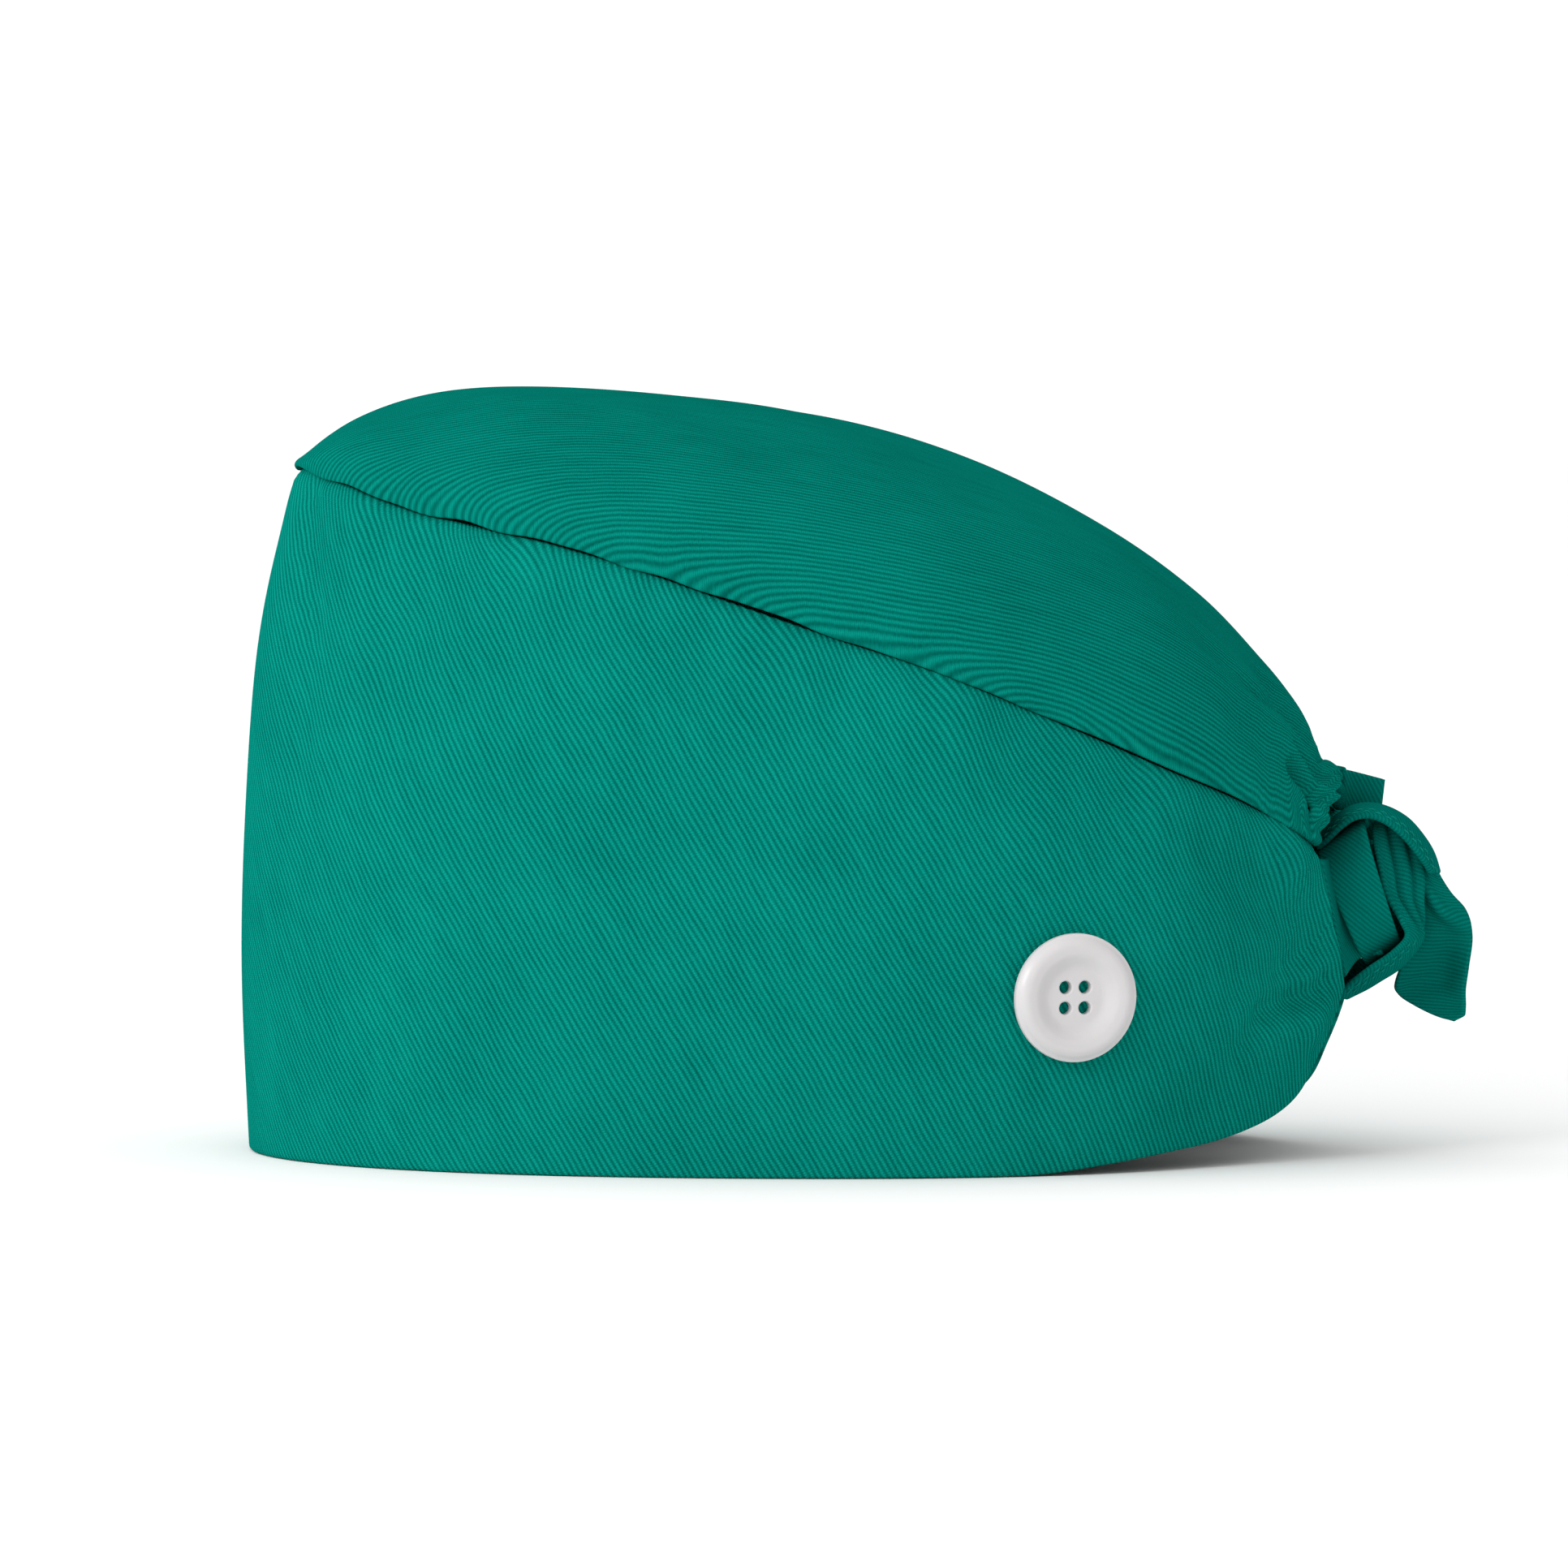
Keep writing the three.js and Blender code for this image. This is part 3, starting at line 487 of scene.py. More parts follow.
class Nodes:
    """Short calls for building a node tree."""

    def __init__(self, name):
        self.material = bpy.data.materials.new(name)
        self.material.use_nodes = True
        self.tree = self.material.node_tree
        self.shader = self.tree.nodes["Principled BSDF"]

    def add(self, kind, **settings):
        node = self.tree.nodes.new("ShaderNode" + kind)
        for key, value in settings.items():
            setattr(node, key, value)
        return node

    def put(self, socket, value):
        if isinstance(value, bpy.types.NodeSocket):
            self.tree.links.new(value, socket)
        else:
            socket.default_value = value

    def math(self, operation, *values):
        node = self.add("Math", operation=operation)
        for socket, value in zip(node.inputs, values):
            self.put(socket, value)
        return node.outputs[0]

    def vector(self, x, y, z=0.0):
        node = self.add("CombineXYZ")
        for socket, value in zip(node.inputs, (x, y, z)):
            self.put(socket, value)
        return node.outputs[0]

    def noise(self, place, scale, detail=2.0):
        node = self.add("TexNoise")
        self.put(node.inputs["Vector"], place)
        self.put(node.inputs["Scale"], scale)
        self.put(node.inputs["Detail"], detail)
        return self.math("SUBTRACT", node.outputs["Fac"], 0.5)

    def scaled(self, value, by, plus=0.0):
        return self.math("MULTIPLY_ADD", value, by, plus)

    def wave(self, turns):
        """A sine wave from 0 to 1."""
        return self.scaled(self.math("SINE", self.scaled(turns, 2 * np.pi)), 0.5, 0.5)

    def colour(self, tone, dark, light):
        node = self.add("Mix", data_type="RGBA", clamp_factor=True)
        self.put(node.inputs["Factor"], tone)
        self.put(node.inputs["A"], dark)
        self.put(node.inputs["B"], light)
        self.put(self.shader.inputs["Base Color"], node.outputs["Result"])

    def relief(self, height, depth):
        node = self.add("Bump")
        self.put(node.inputs["Strength"], 1.0)
        self.put(node.inputs["Distance"], depth * MM)
        self.put(node.inputs["Height"], height)
        self.put(self.shader.inputs["Normal"], node.outputs[0])

    def shine(self, roughness, specular):
        self.put(self.shader.inputs["Roughness"], roughness)
        self.put(self.shader.inputs["Specular IOR Level"], specular)


RIB_PITCH = {"band": 1.1, "crown": 0.9, "tie": 0.75}
THREAD_SHARE = 0.45  # length of a thread's step against the rib pitch
THREAD_LEAN = 0.4  # how much the threads' steps shift from one rib to the next
RIB_WANDER = 0.8
# Weights of what makes the twill's height, and then its tone. The tone follows the height, so the grooves
# between ribs and threads get painted shade; slub and patch are the cloth's own uneven tone.
HEIGHT = {"rib": 0.6, "thread": 0.4, "fuzz": 0.75}
TONE = {"height": 0.75, "base": 0.13, "slub": 0.4, "patch": 0.28}


def twill(name, pitch, relief, light, dark):
    """Twill in the cloth's own places: ribs across weave.x and the steps of the threads along weave.y."""
    n = Nodes(name)
    places = n.add("Attribute", attribute_name="weave")
    split = n.add("SeparateXYZ")
    n.put(split.inputs[0], places.outputs["Vector"])
    across, along = split.outputs[0], split.outputs[1]
    wander = n.noise(places.outputs["Vector"], 0.09, 3.0)
    turns = n.math("ADD", n.scaled(across, 1 / pitch), n.scaled(wander, RIB_WANDER))
    rib = n.wave(turns)
    thread = n.wave(n.math("ADD", n.scaled(along, 1 / (pitch * THREAD_SHARE)), n.scaled(turns, THREAD_LEAN)))
    fuzz = n.noise(places.outputs["Vector"], 2.6, 2.0)
    slub = n.noise(n.vector(n.scaled(across, 0.9), n.scaled(along, 0.09)), 1.0, 3.0)
    patch = n.noise(places.outputs["Vector"], 0.035, 2.0)
    thread = n.math("MULTIPLY", rib, thread)
    height = n.math("ADD", n.scaled(rib, HEIGHT["rib"]), n.scaled(thread, HEIGHT["thread"]))
    height = n.math("ADD", height, n.scaled(fuzz, HEIGHT["fuzz"]))
    # Painted shade: the colour darkens where the weave's relief is low
    tone = n.math("ADD", n.scaled(height, TONE["height"], TONE["base"]), n.scaled(slub, TONE["slub"]))
    tone = n.math("ADD", tone, n.scaled(patch, TONE["patch"]))
    n.colour(tone, dark, light)
    n.relief(height, relief)
    n.shine(0.9, 0.0)
    return n.material


BAND_TWILL = twill("band_twill", RIB_PITCH["band"], 0.16, srgb(10, 152, 136), srgb(0, 86, 77))
CROWN_TWILL = twill("crown_twill", RIB_PITCH["crown"], 0.12, srgb(6, 138, 123), srgb(0, 81, 72))
# Painted shade: the ties' light green is darker than the band's, standing in for the shade that the cap casts
# on the knot
SHADED_TIE_TWILL = twill("tie_twill", RIB_PITCH["tie"], 0.05, srgb(4, 122, 110), srgb(0, 88, 79))


def button_plastic():
    n = Nodes("button_plastic")
    place = n.add("TexCoord").outputs["Object"]
    cloud = n.noise(place, 90.0, 3.0)
    n.colour(n.scaled(cloud, 0.8, 0.5), srgb(198, 195, 196), srgb(208, 205, 206))
    n.relief(cloud, 0.02)
    n.put(n.shader.inputs["Roughness"], n.scaled(cloud, 0.1, 0.34))
    n.put(n.shader.inputs["Subsurface Weight"], 0.1)
    n.put(n.shader.inputs["Subsurface Scale"], 1.5 * MM)
    return n.material


BUTTON_PLASTIC = button_plastic()


def thread_material():
    n = Nodes("stitch_thread")
    place = n.add("TexCoord").outputs["Object"]
    twist = n.noise(place, 4000.0, 1.0)
    n.colour(n.scaled(twist, 1.0, 0.5), srgb(0, 96, 86), srgb(6, 148, 132))
    n.shine(0.75, 0.05)
    return n.material


STITCH_THREAD = thread_material()


# Side band

def apart(a, b):
    return np.linalg.norm(a - b)


def unrolled(rim, seam):
    """The band's strip between rim and seam laid flat, column by column from its middle."""
    count = len(rim)
    start = count // 2
    flat_rim, flat_seam = np.zeros((count, 2)), np.zeros((count, 2))
    flat_seam[start, 1] = apart(seam[start], rim[start])

    def third(a, b, from_a, from_b, side):
        """The flat point at the given distances from a and b, on one side of the line between them."""
        line = b - a
        span = apart(b, a)
        along = (from_a**2 - from_b**2 + span**2) / (2 * span)
        off = np.sqrt(max(from_a**2 - along**2, 0))
        line = line / span
        return a + line * along + side * off * np.array([line[1], -line[0]])

    for step, ends in ((1, count), (-1, -1)):
        for i in range(start, ends - step, step):
            j = i + step
            from_rim, from_seam = apart(seam[j], rim[i]), apart(seam[j], seam[i])
            flat_seam[j] = third(flat_rim[i], flat_seam[i], from_rim, from_seam, -step)
            from_rim, from_seam = apart(rim[j], rim[i]), apart(rim[j], seam[j])
            flat_rim[j] = third(flat_rim[i], flat_seam[j], from_rim, from_seam, -step)
    return flat_rim, flat_seam


BAND_GRAIN = np.radians(37)  # lean of the ribs from upright at the forehead, in the flat band
PUCKERED = (5, 9)  # sections between which the puckers fade, from the forehead backwards


def turned_weave(grain, run, place):
    """Weave places of ribs that stand at the grain's angle to the run of the cloth."""
    lean, rest = np.sin(grain), np.cos(grain)
    return np.stack([run * lean + place * rest, run * rest - place * lean], -1)


def band_body():
    """The band's sheet and its flat size. Its top edge is tucked under the crown."""
    pucker_wave, pucker_reach = 13, 12
    fine_wave, fine_reach, fine_depth = 5.5, 4, 0.7
    least_pucker, most_pucker = 0.1, 0.42
    soft_wave, soft_depth = 55, 0.45
    right_share = 0.6  # depth of the creases on the wearer's right, against the left
    tuck_in, tuck_up = 0.9, 1.1
    sway_wave, sway_reach, sway_width = 24, 16, 2.2
    low_down = 60.0  # stands in for the distance to the seam in the band's lower half
    places = (edged(BAND_COLUMNS, 0.0015) * 2 - 1) * LAST_SECTION
    ups = edged(BAND_ROWS, 0.009)
    place, up = np.meshgrid(places, ups, indexing="ij")
    outer = band_point(place, up)
    normal = -grid_normal(outer)
    flat_rim, flat_seam = unrolled(outer[:, 0], outer[:, -1])
    flat = mix(flat_rim[:, None], flat_seam[:, None], up[..., None])
    x, y = flat[..., 0], flat[..., 1]
    below_seam = np.where(up > 0.5, edge_distance(outer, 1), low_down)
    front = 1 - ramp(*PUCKERED, np.abs(place))
    wide = ripples(x, 0.25 * y, pucker_wave, SEEDS["band_pucker"]) * bump(below_seam / pucker_reach)
    fine = fine_depth * ripples(x, 0.3 * y, fine_wave, SEEDS["band_fine"]) * bump(below_seam / fine_reach)
    soft = ripples(x, y, soft_wave, SEEDS["band_soft"]) * np.sin(np.pi * up) ** 0.5
    away = mix(least_pucker, most_pucker, front) * (wide + fine) * ramp(0, 2, below_seam) + soft_depth * soft
    away = away + crease_depths(outer[::-1], -places[::-1], ups, BAND_CREASES)[::-1]
    away = away + right_share * crease_depths(outer, places, ups, BAND_CREASES)
    outer = outer + normal * away[..., None]
    tucked = 1 - ramp(0.2, 2.2, below_seam)
    raised = 1 - ramp(0, 1.6, below_seam)
    outer = outer - normal * (tuck_in * tucked)[..., None] + np.array([0, 0, tuck_up]) * raised[..., None]
    middle = outer - normal * BAND_WALL / 2
    weave = turned_weave(BAND_GRAIN, y, x)
    sway = ripples(x, 0.4 * y, sway_wave, SEEDS["band_sway"]) * np.exp(-below_seam / sway_reach)
    weave[..., 0] += sway_width * sway
    return sheet_body(middle, BAND_WALL, weave, normal), (float(np.ptp(y)), float(np.ptp(x)))


# Crown and its elastic casing

def crown_normal(points):
    """Outward normals of the crown's grid. Its front end is one point."""
    normal = grid_normal(points)
    normal[0] = (-1, 0, 0)
    return normal


def gather(section, across):
    swell = (np.cos(2 * np.pi * GATHER_COUNT * across) - 0.6) * np.abs(np.sin(np.pi * across)) ** 0.5
    return swell * ramp(GATHER_START, CASING_START, section) * GATHER_DEPTH


def crown_outer(section, across):
    """The crown's outer face with its normals, as in the CAD."""
    dome = dome_point(section, across)
    normal = crown_normal(dome)
    folds = 0.0
    for s, a, reach, wide, depth in zip(*CROWN_FOLDS.values()):
        folds = folds + depth * bump((section - s) / reach) * bump((across - a) / wide)
    away = gather(section, across) + folds * BAND_BELLY * 0.4 * np.sin(np.pi * across)
    dome = dome + normal * (away * ramp(0, 1, section))[..., None]
    return dome, normal


CROWN_GRAIN = 0.1  # how much the crown's ribs drop along the cap on its left side
RIB_DROP = 1.1  # ribs that a drop of the ridge adds, against ribs that run level


def crown_weave(outer):
    """Ribs that run level along the crown and hook down towards the seam."""
    hook_wave, hook_reach, hook, hook_change = 26, 7, 6, 3
    x = outer[..., 0]
    around = run_lengths(outer, 1)
    ridge = around.shape[1] // 2
    uneven = ripples(x, 0 * around, hook_wave, SEEDS["crown_hooks"])
    hooks = (hook + hook_change * uneven) * np.exp(-edge_distance(outer, 1) / hook_reach)
    across = around - around[:, [ridge]] + RIB_DROP * outer[:, [ridge], 2] + CROWN_GRAIN * x + hooks
    return np.stack([across, x], -1)


def crown_body():
    """The crown's sheet, with puckers and a wavy edge along the seam."""
    pucker_wave, pucker_reach = 12, 6
    least_pucker, most_pucker = 0.12, 0.4
    soft_wave, soft_reach, soft_depth = 60, 12, 0.45
    edge_wave, edge_reach = 15, 3
    least_edge, most_edge = 0.1, 0.5
    sections, columns = edged(CROWN_SECTIONS, 0.003) * CASING_START, edged(CROWN_COLUMNS, 0.004)
    section, across = np.meshgrid(sections, columns, indexing="ij")
    outer, normal = crown_outer(section, across)
    x, y = outer[..., 0], outer[..., 1]
    from_seam = edge_distance(outer, 1)
    front = 1 - ramp(*PUCKERED, section)
    opened = ramp(0, 1, section)  # none of it at the front end, which is one point
    pucker = ripples(x, y * 0.3, pucker_wave, SEEDS["crown_pucker"])
    pucker = bump(from_seam / pucker_reach) * pucker * opened
    soft = ripples(x, y, soft_wave, SEEDS["crown_soft"])
    soft = soft * ramp(0, soft_reach, from_seam) * ramp(0, 2, section)
    away = mix(least_pucker, most_pucker, front) * pucker + soft_depth * soft
    away = away + crease_depths(outer, sections, columns, CROWN_CREASES)
    outer = outer + normal * away[..., None]
    wave = ripples(outer[..., 0], 0 * across, edge_wave, SEEDS["crown_edge"]) * bump(from_seam / edge_reach)
    wave = mix(least_edge, most_edge, front) * wave * opened
    outer = outer + np.array([0, 0, 1]) * wave[..., None]
    middle = outer - normal * CROWN_WALL / 2
    return sheet_body(middle, CROWN_WALL, crown_weave(outer), normal)


def casing_body():
    """A hem that runs on from the crown without a step, bunched up into small uneven ruffles."""
    overlap = 0.12  # sections that the hem starts before the crown's end
    ruffle_wave, ruffle_depth = 4.6, 0.65
    fine_wave, fine_share = 2.2, 0.5
    swell, hang = 0.5, 1.5  # how far the hem stands out, and back over the knot
    sections = mix(CASING_START - overlap, LAST_SECTION, edged(26, 0.1))
    section, across = np.meshgrid(sections, edged(420, 0.006), indexing="ij")
    dome = dome_point(section, across)
    normal = grid_normal(dome)
    around = run_lengths(dome, 1)
    backwards = ramp(CASING_START - 0.1, CASING_START + 0.25, section)
    ruffles = ripples(around + 1.5 * section, 3 * section, ruffle_wave, SEEDS["ruffles"])
    ruffles = ruffles + fine_share * ripples(around, 6 * section, fine_wave, SEEDS["fine_ruffles"])
    arched = np.sin(np.pi * across)
    fullness = arched**0.35
    away = gather(section, across) + (swell + ruffle_depth * ruffles) * fullness * backwards
    outer = dome + normal * away[..., None]
    outer[..., 0] += hang * backwards * fullness * (1 - 0.5 * arched**8)
    middle = outer - normal * CASING_HEM / 2
    return sheet_body(middle, CASING_HEM, crown_weave(outer), normal)


# Knot

band_tip = rim_point(LAST_SECTION)
band_top = seam_point(LAST_SECTION)
knot_centre = np.array([band_tip[0], 0, (band_tip[2] + band_top[2]) / 2])


def knot_rows(rows):
    """Edge points a and b in millimetres, and the cup, of a ribbon's table."""
    a = np.stack([rows["a_back"], rows["a_side"], rows["a_up"]], -1) * TIE_WIDTH + knot_centre
    b = np.stack([rows["b_back"], rows["b_side"], rows["b_up"]], -1) * TIE_WIDTH + knot_centre
    return a, b, rows["cup"] * TIE_WIDTH


def strap_rows(side, rows):
    """A strap leaves the back edge of the band on one side, in line with it, and closes up into the knot."""
    step = 0.05
    leaving = 3.5 * SEAM_GAP
    a, b, cup = knot_rows(rows)
    ends = []
    for up in (0.03, 0.94):
        places = LAST_SECTION + step * np.array([[-2, -2, -2], [-1, -1, -1], [0, 0, 0]])
        patch = band_point(places, up + 0.01 * np.array([[-1, 0, 1]] * 3))
        normal = -grid_normal(patch)[2, 1]
        along = unit(patch[2, 1] - patch[1, 1])
        ends.append((patch[2, 1] + along * leaving - normal * BAND_WALL / 2) * (1, side, 1))
    return np.vstack([ends[0], a]), np.vstack([ends[1], b]), np.concatenate([[0], cup])


TIE_GRAIN = np.radians(60)
WRAP_GRAIN = np.radians(28)


def ribbon_body(rows, columns, across_steps, detail=None):
    """A ribbon through rows of two edge points, bowed between them. Returns its body and its middle grid."""
    a, b, cup = rows
    ends, sides = 0.012, 0.03  # shares of its length and width that its round edges take
    at, across = np.meshgrid(edged(columns, ends) * (len(a) - 1), edged(across_steps, sides), indexing="ij")
    edge = [np.stack([smooth(p[:, k], at[:, :1]) for k in range(3)], -1) for p in (a, b)]
    flat = mix(edge[0], edge[1], across[..., None])
    bow = smooth(cup, at) * np.sin(np.pi * across)
    if detail:
        bow = bow + detail(at, across)
    middle = flat + grid_normal(flat) * bow[..., None]
    run = run_lengths(middle, 0).mean(1, keepdims=True) + 0 * at
    width = np.linalg.norm(edge[1] - edge[0], axis=-1)
    return sheet_body(middle, TIE_WALL, turned_weave(TIE_GRAIN, run, (across - 0.5) * width)), middle


def wrap_body():
    """The band of cloth that goes round the knot: a closed loop, flattened and leaning back."""
    down = np.array([np.sin(WRAP["lean"]), 0, -np.cos(WRAP["lean"])])
    along = np.array([np.cos(WRAP["edge_lean"]), 0, np.sin(WRAP["edge_lean"])])
    flatness = 0.78
    turns = np.linspace(0, 2 * np.pi, 120, endpoint=False)
    turn, across = np.meshgrid(turns, edged(26, 0.05), indexing="ij")
    low, near = rounded(np.cos(turn), flatness), rounded(np.sin(turn), flatness)
    width = mix(WRAP["width_top"], WRAP["width_foot"], (1 + low) / 2)
    shares = (
        low[..., None] * WRAP["half_height"] * down
        + near[..., None] * WRAP["half_depth"] * np.array([0, -1, 0])
        + ((across - 0.5) * width)[..., None] * along
        + np.array(WRAP["centre"])
    )
    outer = shares * TIE_WIDTH + knot_centre
    normal = grid_normal(outer, True)
    if (normal * (outer - outer.mean((0, 1)))).sum() < 0:
        normal = -normal
    middle = outer - normal * TIE_WALL / 2
    place = (across - 0.5) * width * TIE_WIDTH
    weave = turned_weave(WRAP_GRAIN, run_lengths(middle, 0), place)
    return sheet_body(middle, TIE_WALL, weave, normal, True)


def bunch_body(bunch):
    """A lump of cloth, pleated along its length, with both ends closed."""
    columns, rows = 112, 40
    tip = 0.02
    turns, rings = np.linspace(0, 2 * np.pi, columns, endpoint=False), np.linspace(tip, np.pi - tip, rows)
    turn, ring = np.meshgrid(turns, rings, indexing="ij")
    girth = np.sin(ring) * (1 + bunch["depth"] * np.cos(bunch["pleats"] * turn) * np.sin(ring))
    shape = np.stack([-np.cos(ring), girth * np.cos(turn), girth * np.sin(turn)], -1)
    points = (shape * bunch["reach"] + bunch["centre"]) * TIE_WIDTH + knot_centre
    weave = np.stack([turn * 6, ring * 9], -1)
    points = np.concatenate([points.reshape(-1, 3), [points[:, 0].mean(0)], [points[:, -1].mean(0)]])
    weave = np.concatenate([weave.reshape(-1, 2), [[0, 0], [0, 0]]])
    faces = [grid_quads(columns, rows, 0)]
    for end, centre in ((0, columns * rows), (rows - 1, columns * rows + 1)):
        edge = np.arange(columns) * rows + end
        faces.append(np.stack([edge, np.roll(edge, -1), 0 * edge + centre, 0 * edge + centre], -1))
    return points, np.concatenate(faces), weave


def pleats(at, across):
    """Pleats along the loop, on its way up behind the arch."""
    return 0.035 * TIE_WIDTH * ramp(3.5, 5, at) * np.cos(5 * np.pi * across) * np.sin(np.pi * across)


def tail_folds(at, across):
    """A dark fold that crosses the long tail below the loop, and a soft swell beside it."""
    fold = -1.9 * bump((across - 0.8 + 0.28 * at) / 0.13) * bump((at - 1.5) / 1.2)
    return fold + 1.0 * bump((across - 0.35) / 0.2) * bump((at - 3.6) / 1.4)


def stitch_lines(middle, side, start, end):
    """Two lines of stitches beside a ribbon's a edge, on one face, between two shares of its run."""
    normal = grid_normal(middle) * side
    inwards = run_lengths(middle, 1)
    run = run_lengths(middle, 0).mean(1)
    bodies = []
    i = np.arange(len(run))
    for line in range(2):
        distance = STITCH["first_line"] + line * STITCH["between_lines"]
        across = np.array([np.interp(distance, row, np.arange(middle.shape[1])) for row in inwards])
        below = np.floor(across).astype(int)
        share = (across - below)[:, None]
        path = mix(middle[i, below], middle[i, below + 1], share) + normal[i, below] * TIE_WALL / 2
        places = np.arange(start * run[-1], end * run[-1], STITCH["pitch"]) + 0.4 * line * STITCH["pitch"]
        half = STITCH["length"] / 2
        for place in places:
            ends = [np.array([np.interp(place + d, run, column) for column in path.T]) for d in (-half, half)]
            bodies.append(stitch_body(*ends, normal[np.searchsorted(run, place) % len(run), below[0]]))
    return bodies


def stitch_body(start, end, out):
    """One stitch: a thread that rises a little between its two ends."""
    turns, shares = np.linspace(0, 2 * np.pi, 8, endpoint=False), np.linspace(0, 1, 7)
    turn, share = np.meshgrid(turns, shares, indexing="ij")
    along = unit(end - start)
    aside = unit(np.cross(along, out))
    over = np.cross(aside, along)
    thick = STITCH["radius"] * np.sin(np.pi * mix(0.02, 0.98, share)) ** 0.5
    rise = STITCH["radius"] * (1.2 * np.sin(np.pi * share) - 0.5)
    points = mix(start, end, share[..., None]) + over * (rise + thick * np.sin(turn))[..., None]
    points = points + aside * (thick * np.cos(turn))[..., None]
    return points.reshape(-1, 3), grid_quads(*turn.shape, 0), np.zeros((turn.size, 2))


def left_tie_body():
    """The left tie's cloth. It shows no stitches."""
    strap, _ = ribbon_body(strap_rows(-1, LEFT_STRAP), 60, 40)
    tail, _ = ribbon_body(knot_rows(SHORT_TAIL), 30, 40)
    return joined([strap, wrap_body(), bunch_body(TAIL_FOOT), tail]), None


def right_tie_body():
    """The right tie's cloth and its stitches."""
    strap, _ = ribbon_body(strap_rows(1, RIGHT_STRAP), 60, 40)
    loop, loop_middle = ribbon_body(knot_rows(LOOP), 120, 60, pleats)
    arch, arch_middle = ribbon_body(knot_rows(ARCH), 100, 40)
    tail, _ = ribbon_body(knot_rows(LONG_TAIL), 110, 60, tail_folds)
    cloth = joined([strap, bunch_body(BUNCH), bunch_body(TUCKED_CLOTH), loop, arch, tail])
    stitches = joined(stitch_lines(arch_middle, 1, 0.1, 0.95) + stitch_lines(loop_middle, -1, 0.05, 0.42))
    return cloth, stitches


# Buttons

def lathe(profile, sides):
    """A closed body turned round Z from (radius, height) points, with its ends on the axis."""
    angles = np.linspace(0, 2 * np.pi, sides, endpoint=False)
    profile = np.array(profile, float)
    radius, height = profile[:, :1], profile[:, 1:]
    ring = np.stack([radius * np.cos(angles), radius * np.sin(angles), height + 0 * angles], -1)
    return ring.reshape(-1, 3), grid_quads(len(profile), sides, 1)


def plain_object(name, points, faces):
    mesh = bpy.data.meshes.new(name)
    mesh.from_pydata((points * MM).tolist(), [], faces.tolist())
    clean(mesh, 1e-6)
    return linked(name, mesh)


def arc(centre, radius, start, end, count):
    """Points of a circle's arc in a lathe profile, with angles in degrees."""
    turn = np.radians(np.linspace(start, end, count))
    return [(centre[0] + radius * np.cos(t), centre[1] + radius * np.sin(t)) for t in turn]


def button_mesh():
    """The button with its back at 0, a rounded rim, a dish and four holes with soft lips."""
    radius, height, floor = BUTTON_DIAMETER / 2, BUTTON_HEIGHT, BUTTON_FLOOR_HEIGHT
    profile = [(0, 0), (radius - 2.0, 0)]
    profile += arc((radius - 1.7, 1.7), 1.7, -80, 20, 8)
    profile += arc((radius - 2.6, height - 2.3), 2.3, 35, 100, 10)
    dish = np.linspace(0, 1, 12)
    profile += zip(mix(radius - 3.4, radius - 7.2, dish), mix(height - 0.1, floor, ramp(0, 1, dish)))
    profile += [(r, floor) for r in (4.6, 3.8, 2.8, 1.4, 0)]
    button = plain_object("button_blank", *lathe(profile, 96))
    hole, lip, above = BUTTON_HOLE_DIAMETER / 2, 0.35, 0.4
    drill = [(0, -1), (hole, -1), (hole, floor - lip)]
    drill += arc((hole + lip, floor - lip), lip, 160, 100, 4)
    drill += [(hole + above, floor + above), (0, floor + above)]
    offset = BUTTON_HOLE_SPACING / 2
    for x in (-offset, offset):
        for y in (-offset, offset):
            points, faces = lathe(drill, 32)
            cutter = plain_object("drill", points + np.array([x, y, 0]), faces)
            cut = button.modifiers.new("hole", "BOOLEAN")
            cut.operation = "DIFFERENCE"
            cut.solver = "EXACT"
            cut.object = cutter
            graph = bpy.context.evaluated_depsgraph_get()
            made = bpy.data.meshes.new_from_object(button.evaluated_get(graph))
            button.modifiers.clear()
            button.data = made
            bpy.data.objects.remove(cutter)
    mesh = button.data
    bpy.data.objects.remove(button)
    mesh.shade_smooth()
    mesh.set_sharp_from_angle(angle=np.radians(38))
    return mesh


def place_button(mesh, name, side):
    """A copy of the button on the band, on the side whose sign is given."""
    sections = BUTTON_PLACE["section"] + 0.02 * np.array([[-1] * 3, [0] * 3, [1] * 3])
    patch = band_point(sections, BUTTON_PLACE["up"] + 0.004 * np.array([[-1, 0, 1]] * 3))
    outward = Vector(grid_normal(patch)[1, 1] * -1)
    outward = Vector((outward.x, side * outward.y, outward.z))
    centre = Vector(patch[1, 1] * (1, side, 1)) + outward * SEAM_GAP
    across = Vector((0, 0, 1)).cross(outward).normalized()
    turn = Matrix((across, outward.cross(across), outward)).transposed().to_4x4()
    placed = mesh.copy()
    placed.transform(Matrix.Translation(centre * MM + shift) @ turn)
    placed.materials.clear()
    placed.materials.append(BUTTON_PLASTIC)
    return linked(name, placed)


def finish_piece(obj, node):
    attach(obj, "root")
    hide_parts(node)
    return obj


band, band_flat = band_body()
# From the script's own frame to the part's
shift = Vector((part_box("side_band")[0].x - band[0][:, 0].min() * MM, 0, 0))

band_cloth = finish_piece(make_object("band_cloth", band, BAND_TWILL), "side_band")
band_flat = tuple(length * MM for length in band_flat)

crown = crown_body()
crown_cloth = finish_piece(make_object("crown_cloth", crown, CROWN_TWILL), "crown")

casing = casing_body()
casing_cloth = finish_piece(make_object("casing_cloth", casing, CROWN_TWILL), "elastic_casing")

for side, (body, stitches) in (("left", left_tie_body()), ("right", right_tie_body())):
    node = side + "_tie"
    tie = finish_piece(make_object(node + "_cloth", body, SHADED_TIE_TWILL), node)
    if stitches:
        finish_piece(make_object(node + "_stitches", stitches, STITCH_THREAD), node)

button = button_mesh()
for side, sign in (("left", -1), ("right", 1)):
    finish_piece(place_button(button, side + "_mask_button", sign), side + "_button")


# Stage, light and camera

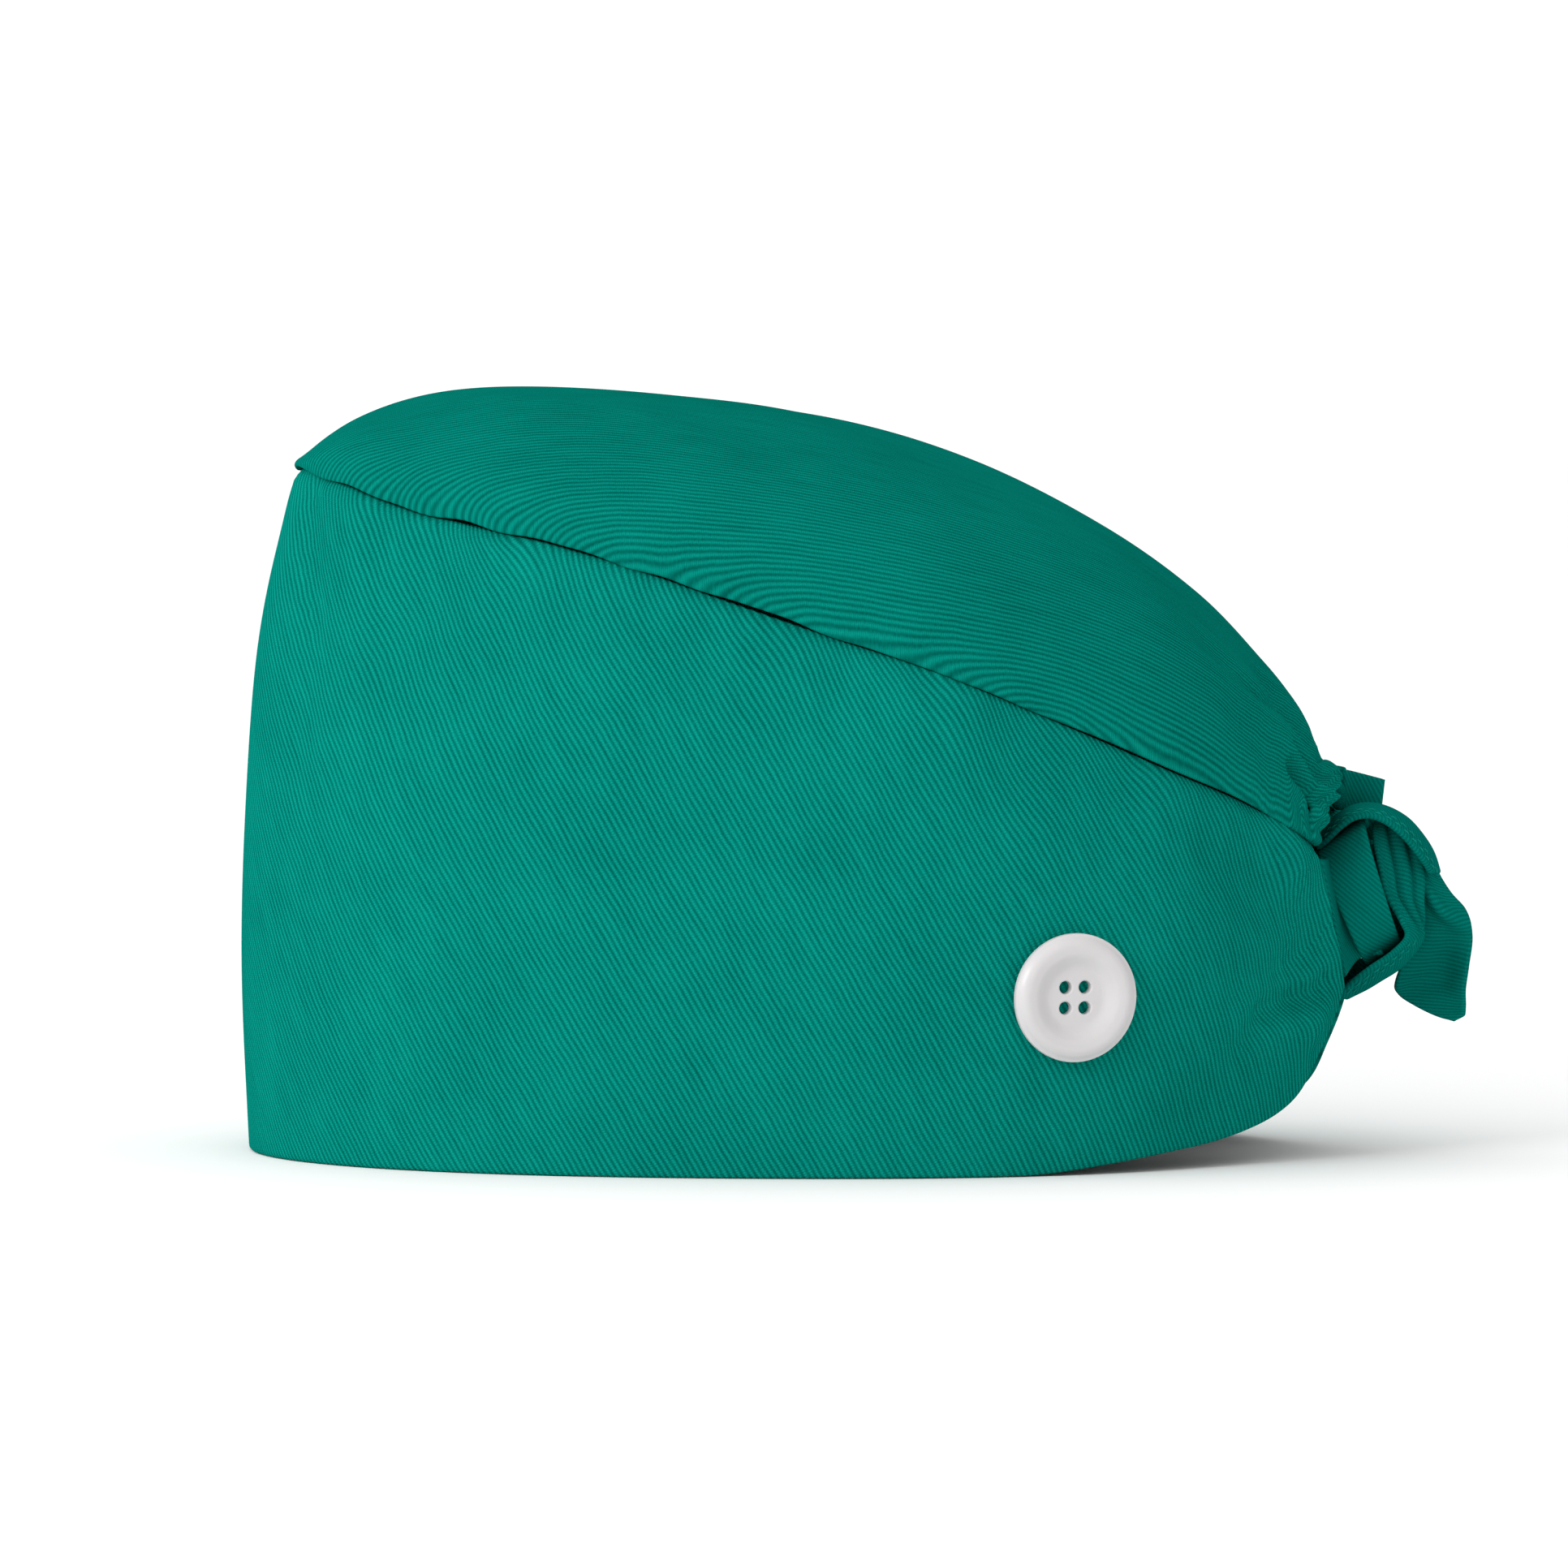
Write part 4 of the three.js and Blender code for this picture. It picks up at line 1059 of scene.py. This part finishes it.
def stage_floor(radius, white):
    work = bmesh.new()
    bmesh.ops.create_circle(work, cap_ends=True, radius=radius, segments=96)
    mesh = bpy.data.meshes.new("studio_floor")
    work.to_mesh(mesh)
    work.free()
    n = Nodes("studio_floor")
    n.put(n.shader.inputs["Base Color"], (white, white, white, 1))
    n.shine(0.9, 0.0)
    mesh.materials.append(n.material)
    linked("studio_floor", mesh)


def aimed(name, data, place, target):
    """A light or camera at a place, turned towards a target."""
    obj = linked(name, data)
    obj.location = place
    obj.rotation_mode = "QUATERNION"
    obj.rotation_quaternion = (Vector(place) - Vector(target)).to_track_quat("Z", "Y")
    return obj


def lamp(name, place, size, power):
    light = bpy.data.lights.new(name, "AREA")
    light.shape = "DISK"
    light.size = size
    light.energy = power
    aimed(name, light, place, (0, 0, 0.07))


def white_studio(strength, towards_front):
    """A white surround, brighter towards the cap's forehead than towards its nape."""
    world = bpy.data.worlds.new("studio")
    world.use_nodes = True
    tree = world.node_tree
    background = tree.nodes["Background"]
    background.inputs["Color"].default_value = (1, 1, 1, 1)
    direction = tree.nodes.new("ShaderNodeTexCoord")
    split = tree.nodes.new("ShaderNodeSeparateXYZ")
    level = tree.nodes.new("ShaderNodeMath")
    level.operation = "MULTIPLY_ADD"
    tree.links.new(direction.outputs["Generated"], split.inputs[0])
    tree.links.new(split.outputs["X"], level.inputs[0])
    level.inputs[1].default_value = -towards_front
    level.inputs[2].default_value = strength
    tree.links.new(level.outputs[0], background.inputs["Strength"])
    bpy.context.scene.world = world


stage_floor(14, 0.97)
lamp("key_light", (-1.2, -1.7, 0.9), 0.8, 17)
white_studio(1.06, 0.4)
bpy.context.scene.view_settings.view_transform = "Standard"

AZIMUTH, ELEVATION = np.radians(5.5), np.radians(2.4)
DISTANCE = 2.2
TARGET = Vector((-0.0146, 0, 0.0727))
PICTURE_WIDTH = 0.313  # what the picture spans at the target
camera = bpy.data.cameras.new("camera")
camera.sensor_width = 36
camera.lens = camera.sensor_width * DISTANCE / PICTURE_WIDTH
camera.clip_start, camera.clip_end = 0.05, 60
level = np.cos(ELEVATION)
view_from = Vector((np.sin(AZIMUTH) * level, -np.cos(AZIMUTH) * level, np.sin(ELEVATION)))
bpy.context.scene.camera = aimed("camera", camera, TARGET + DISTANCE * view_from, TARGET)
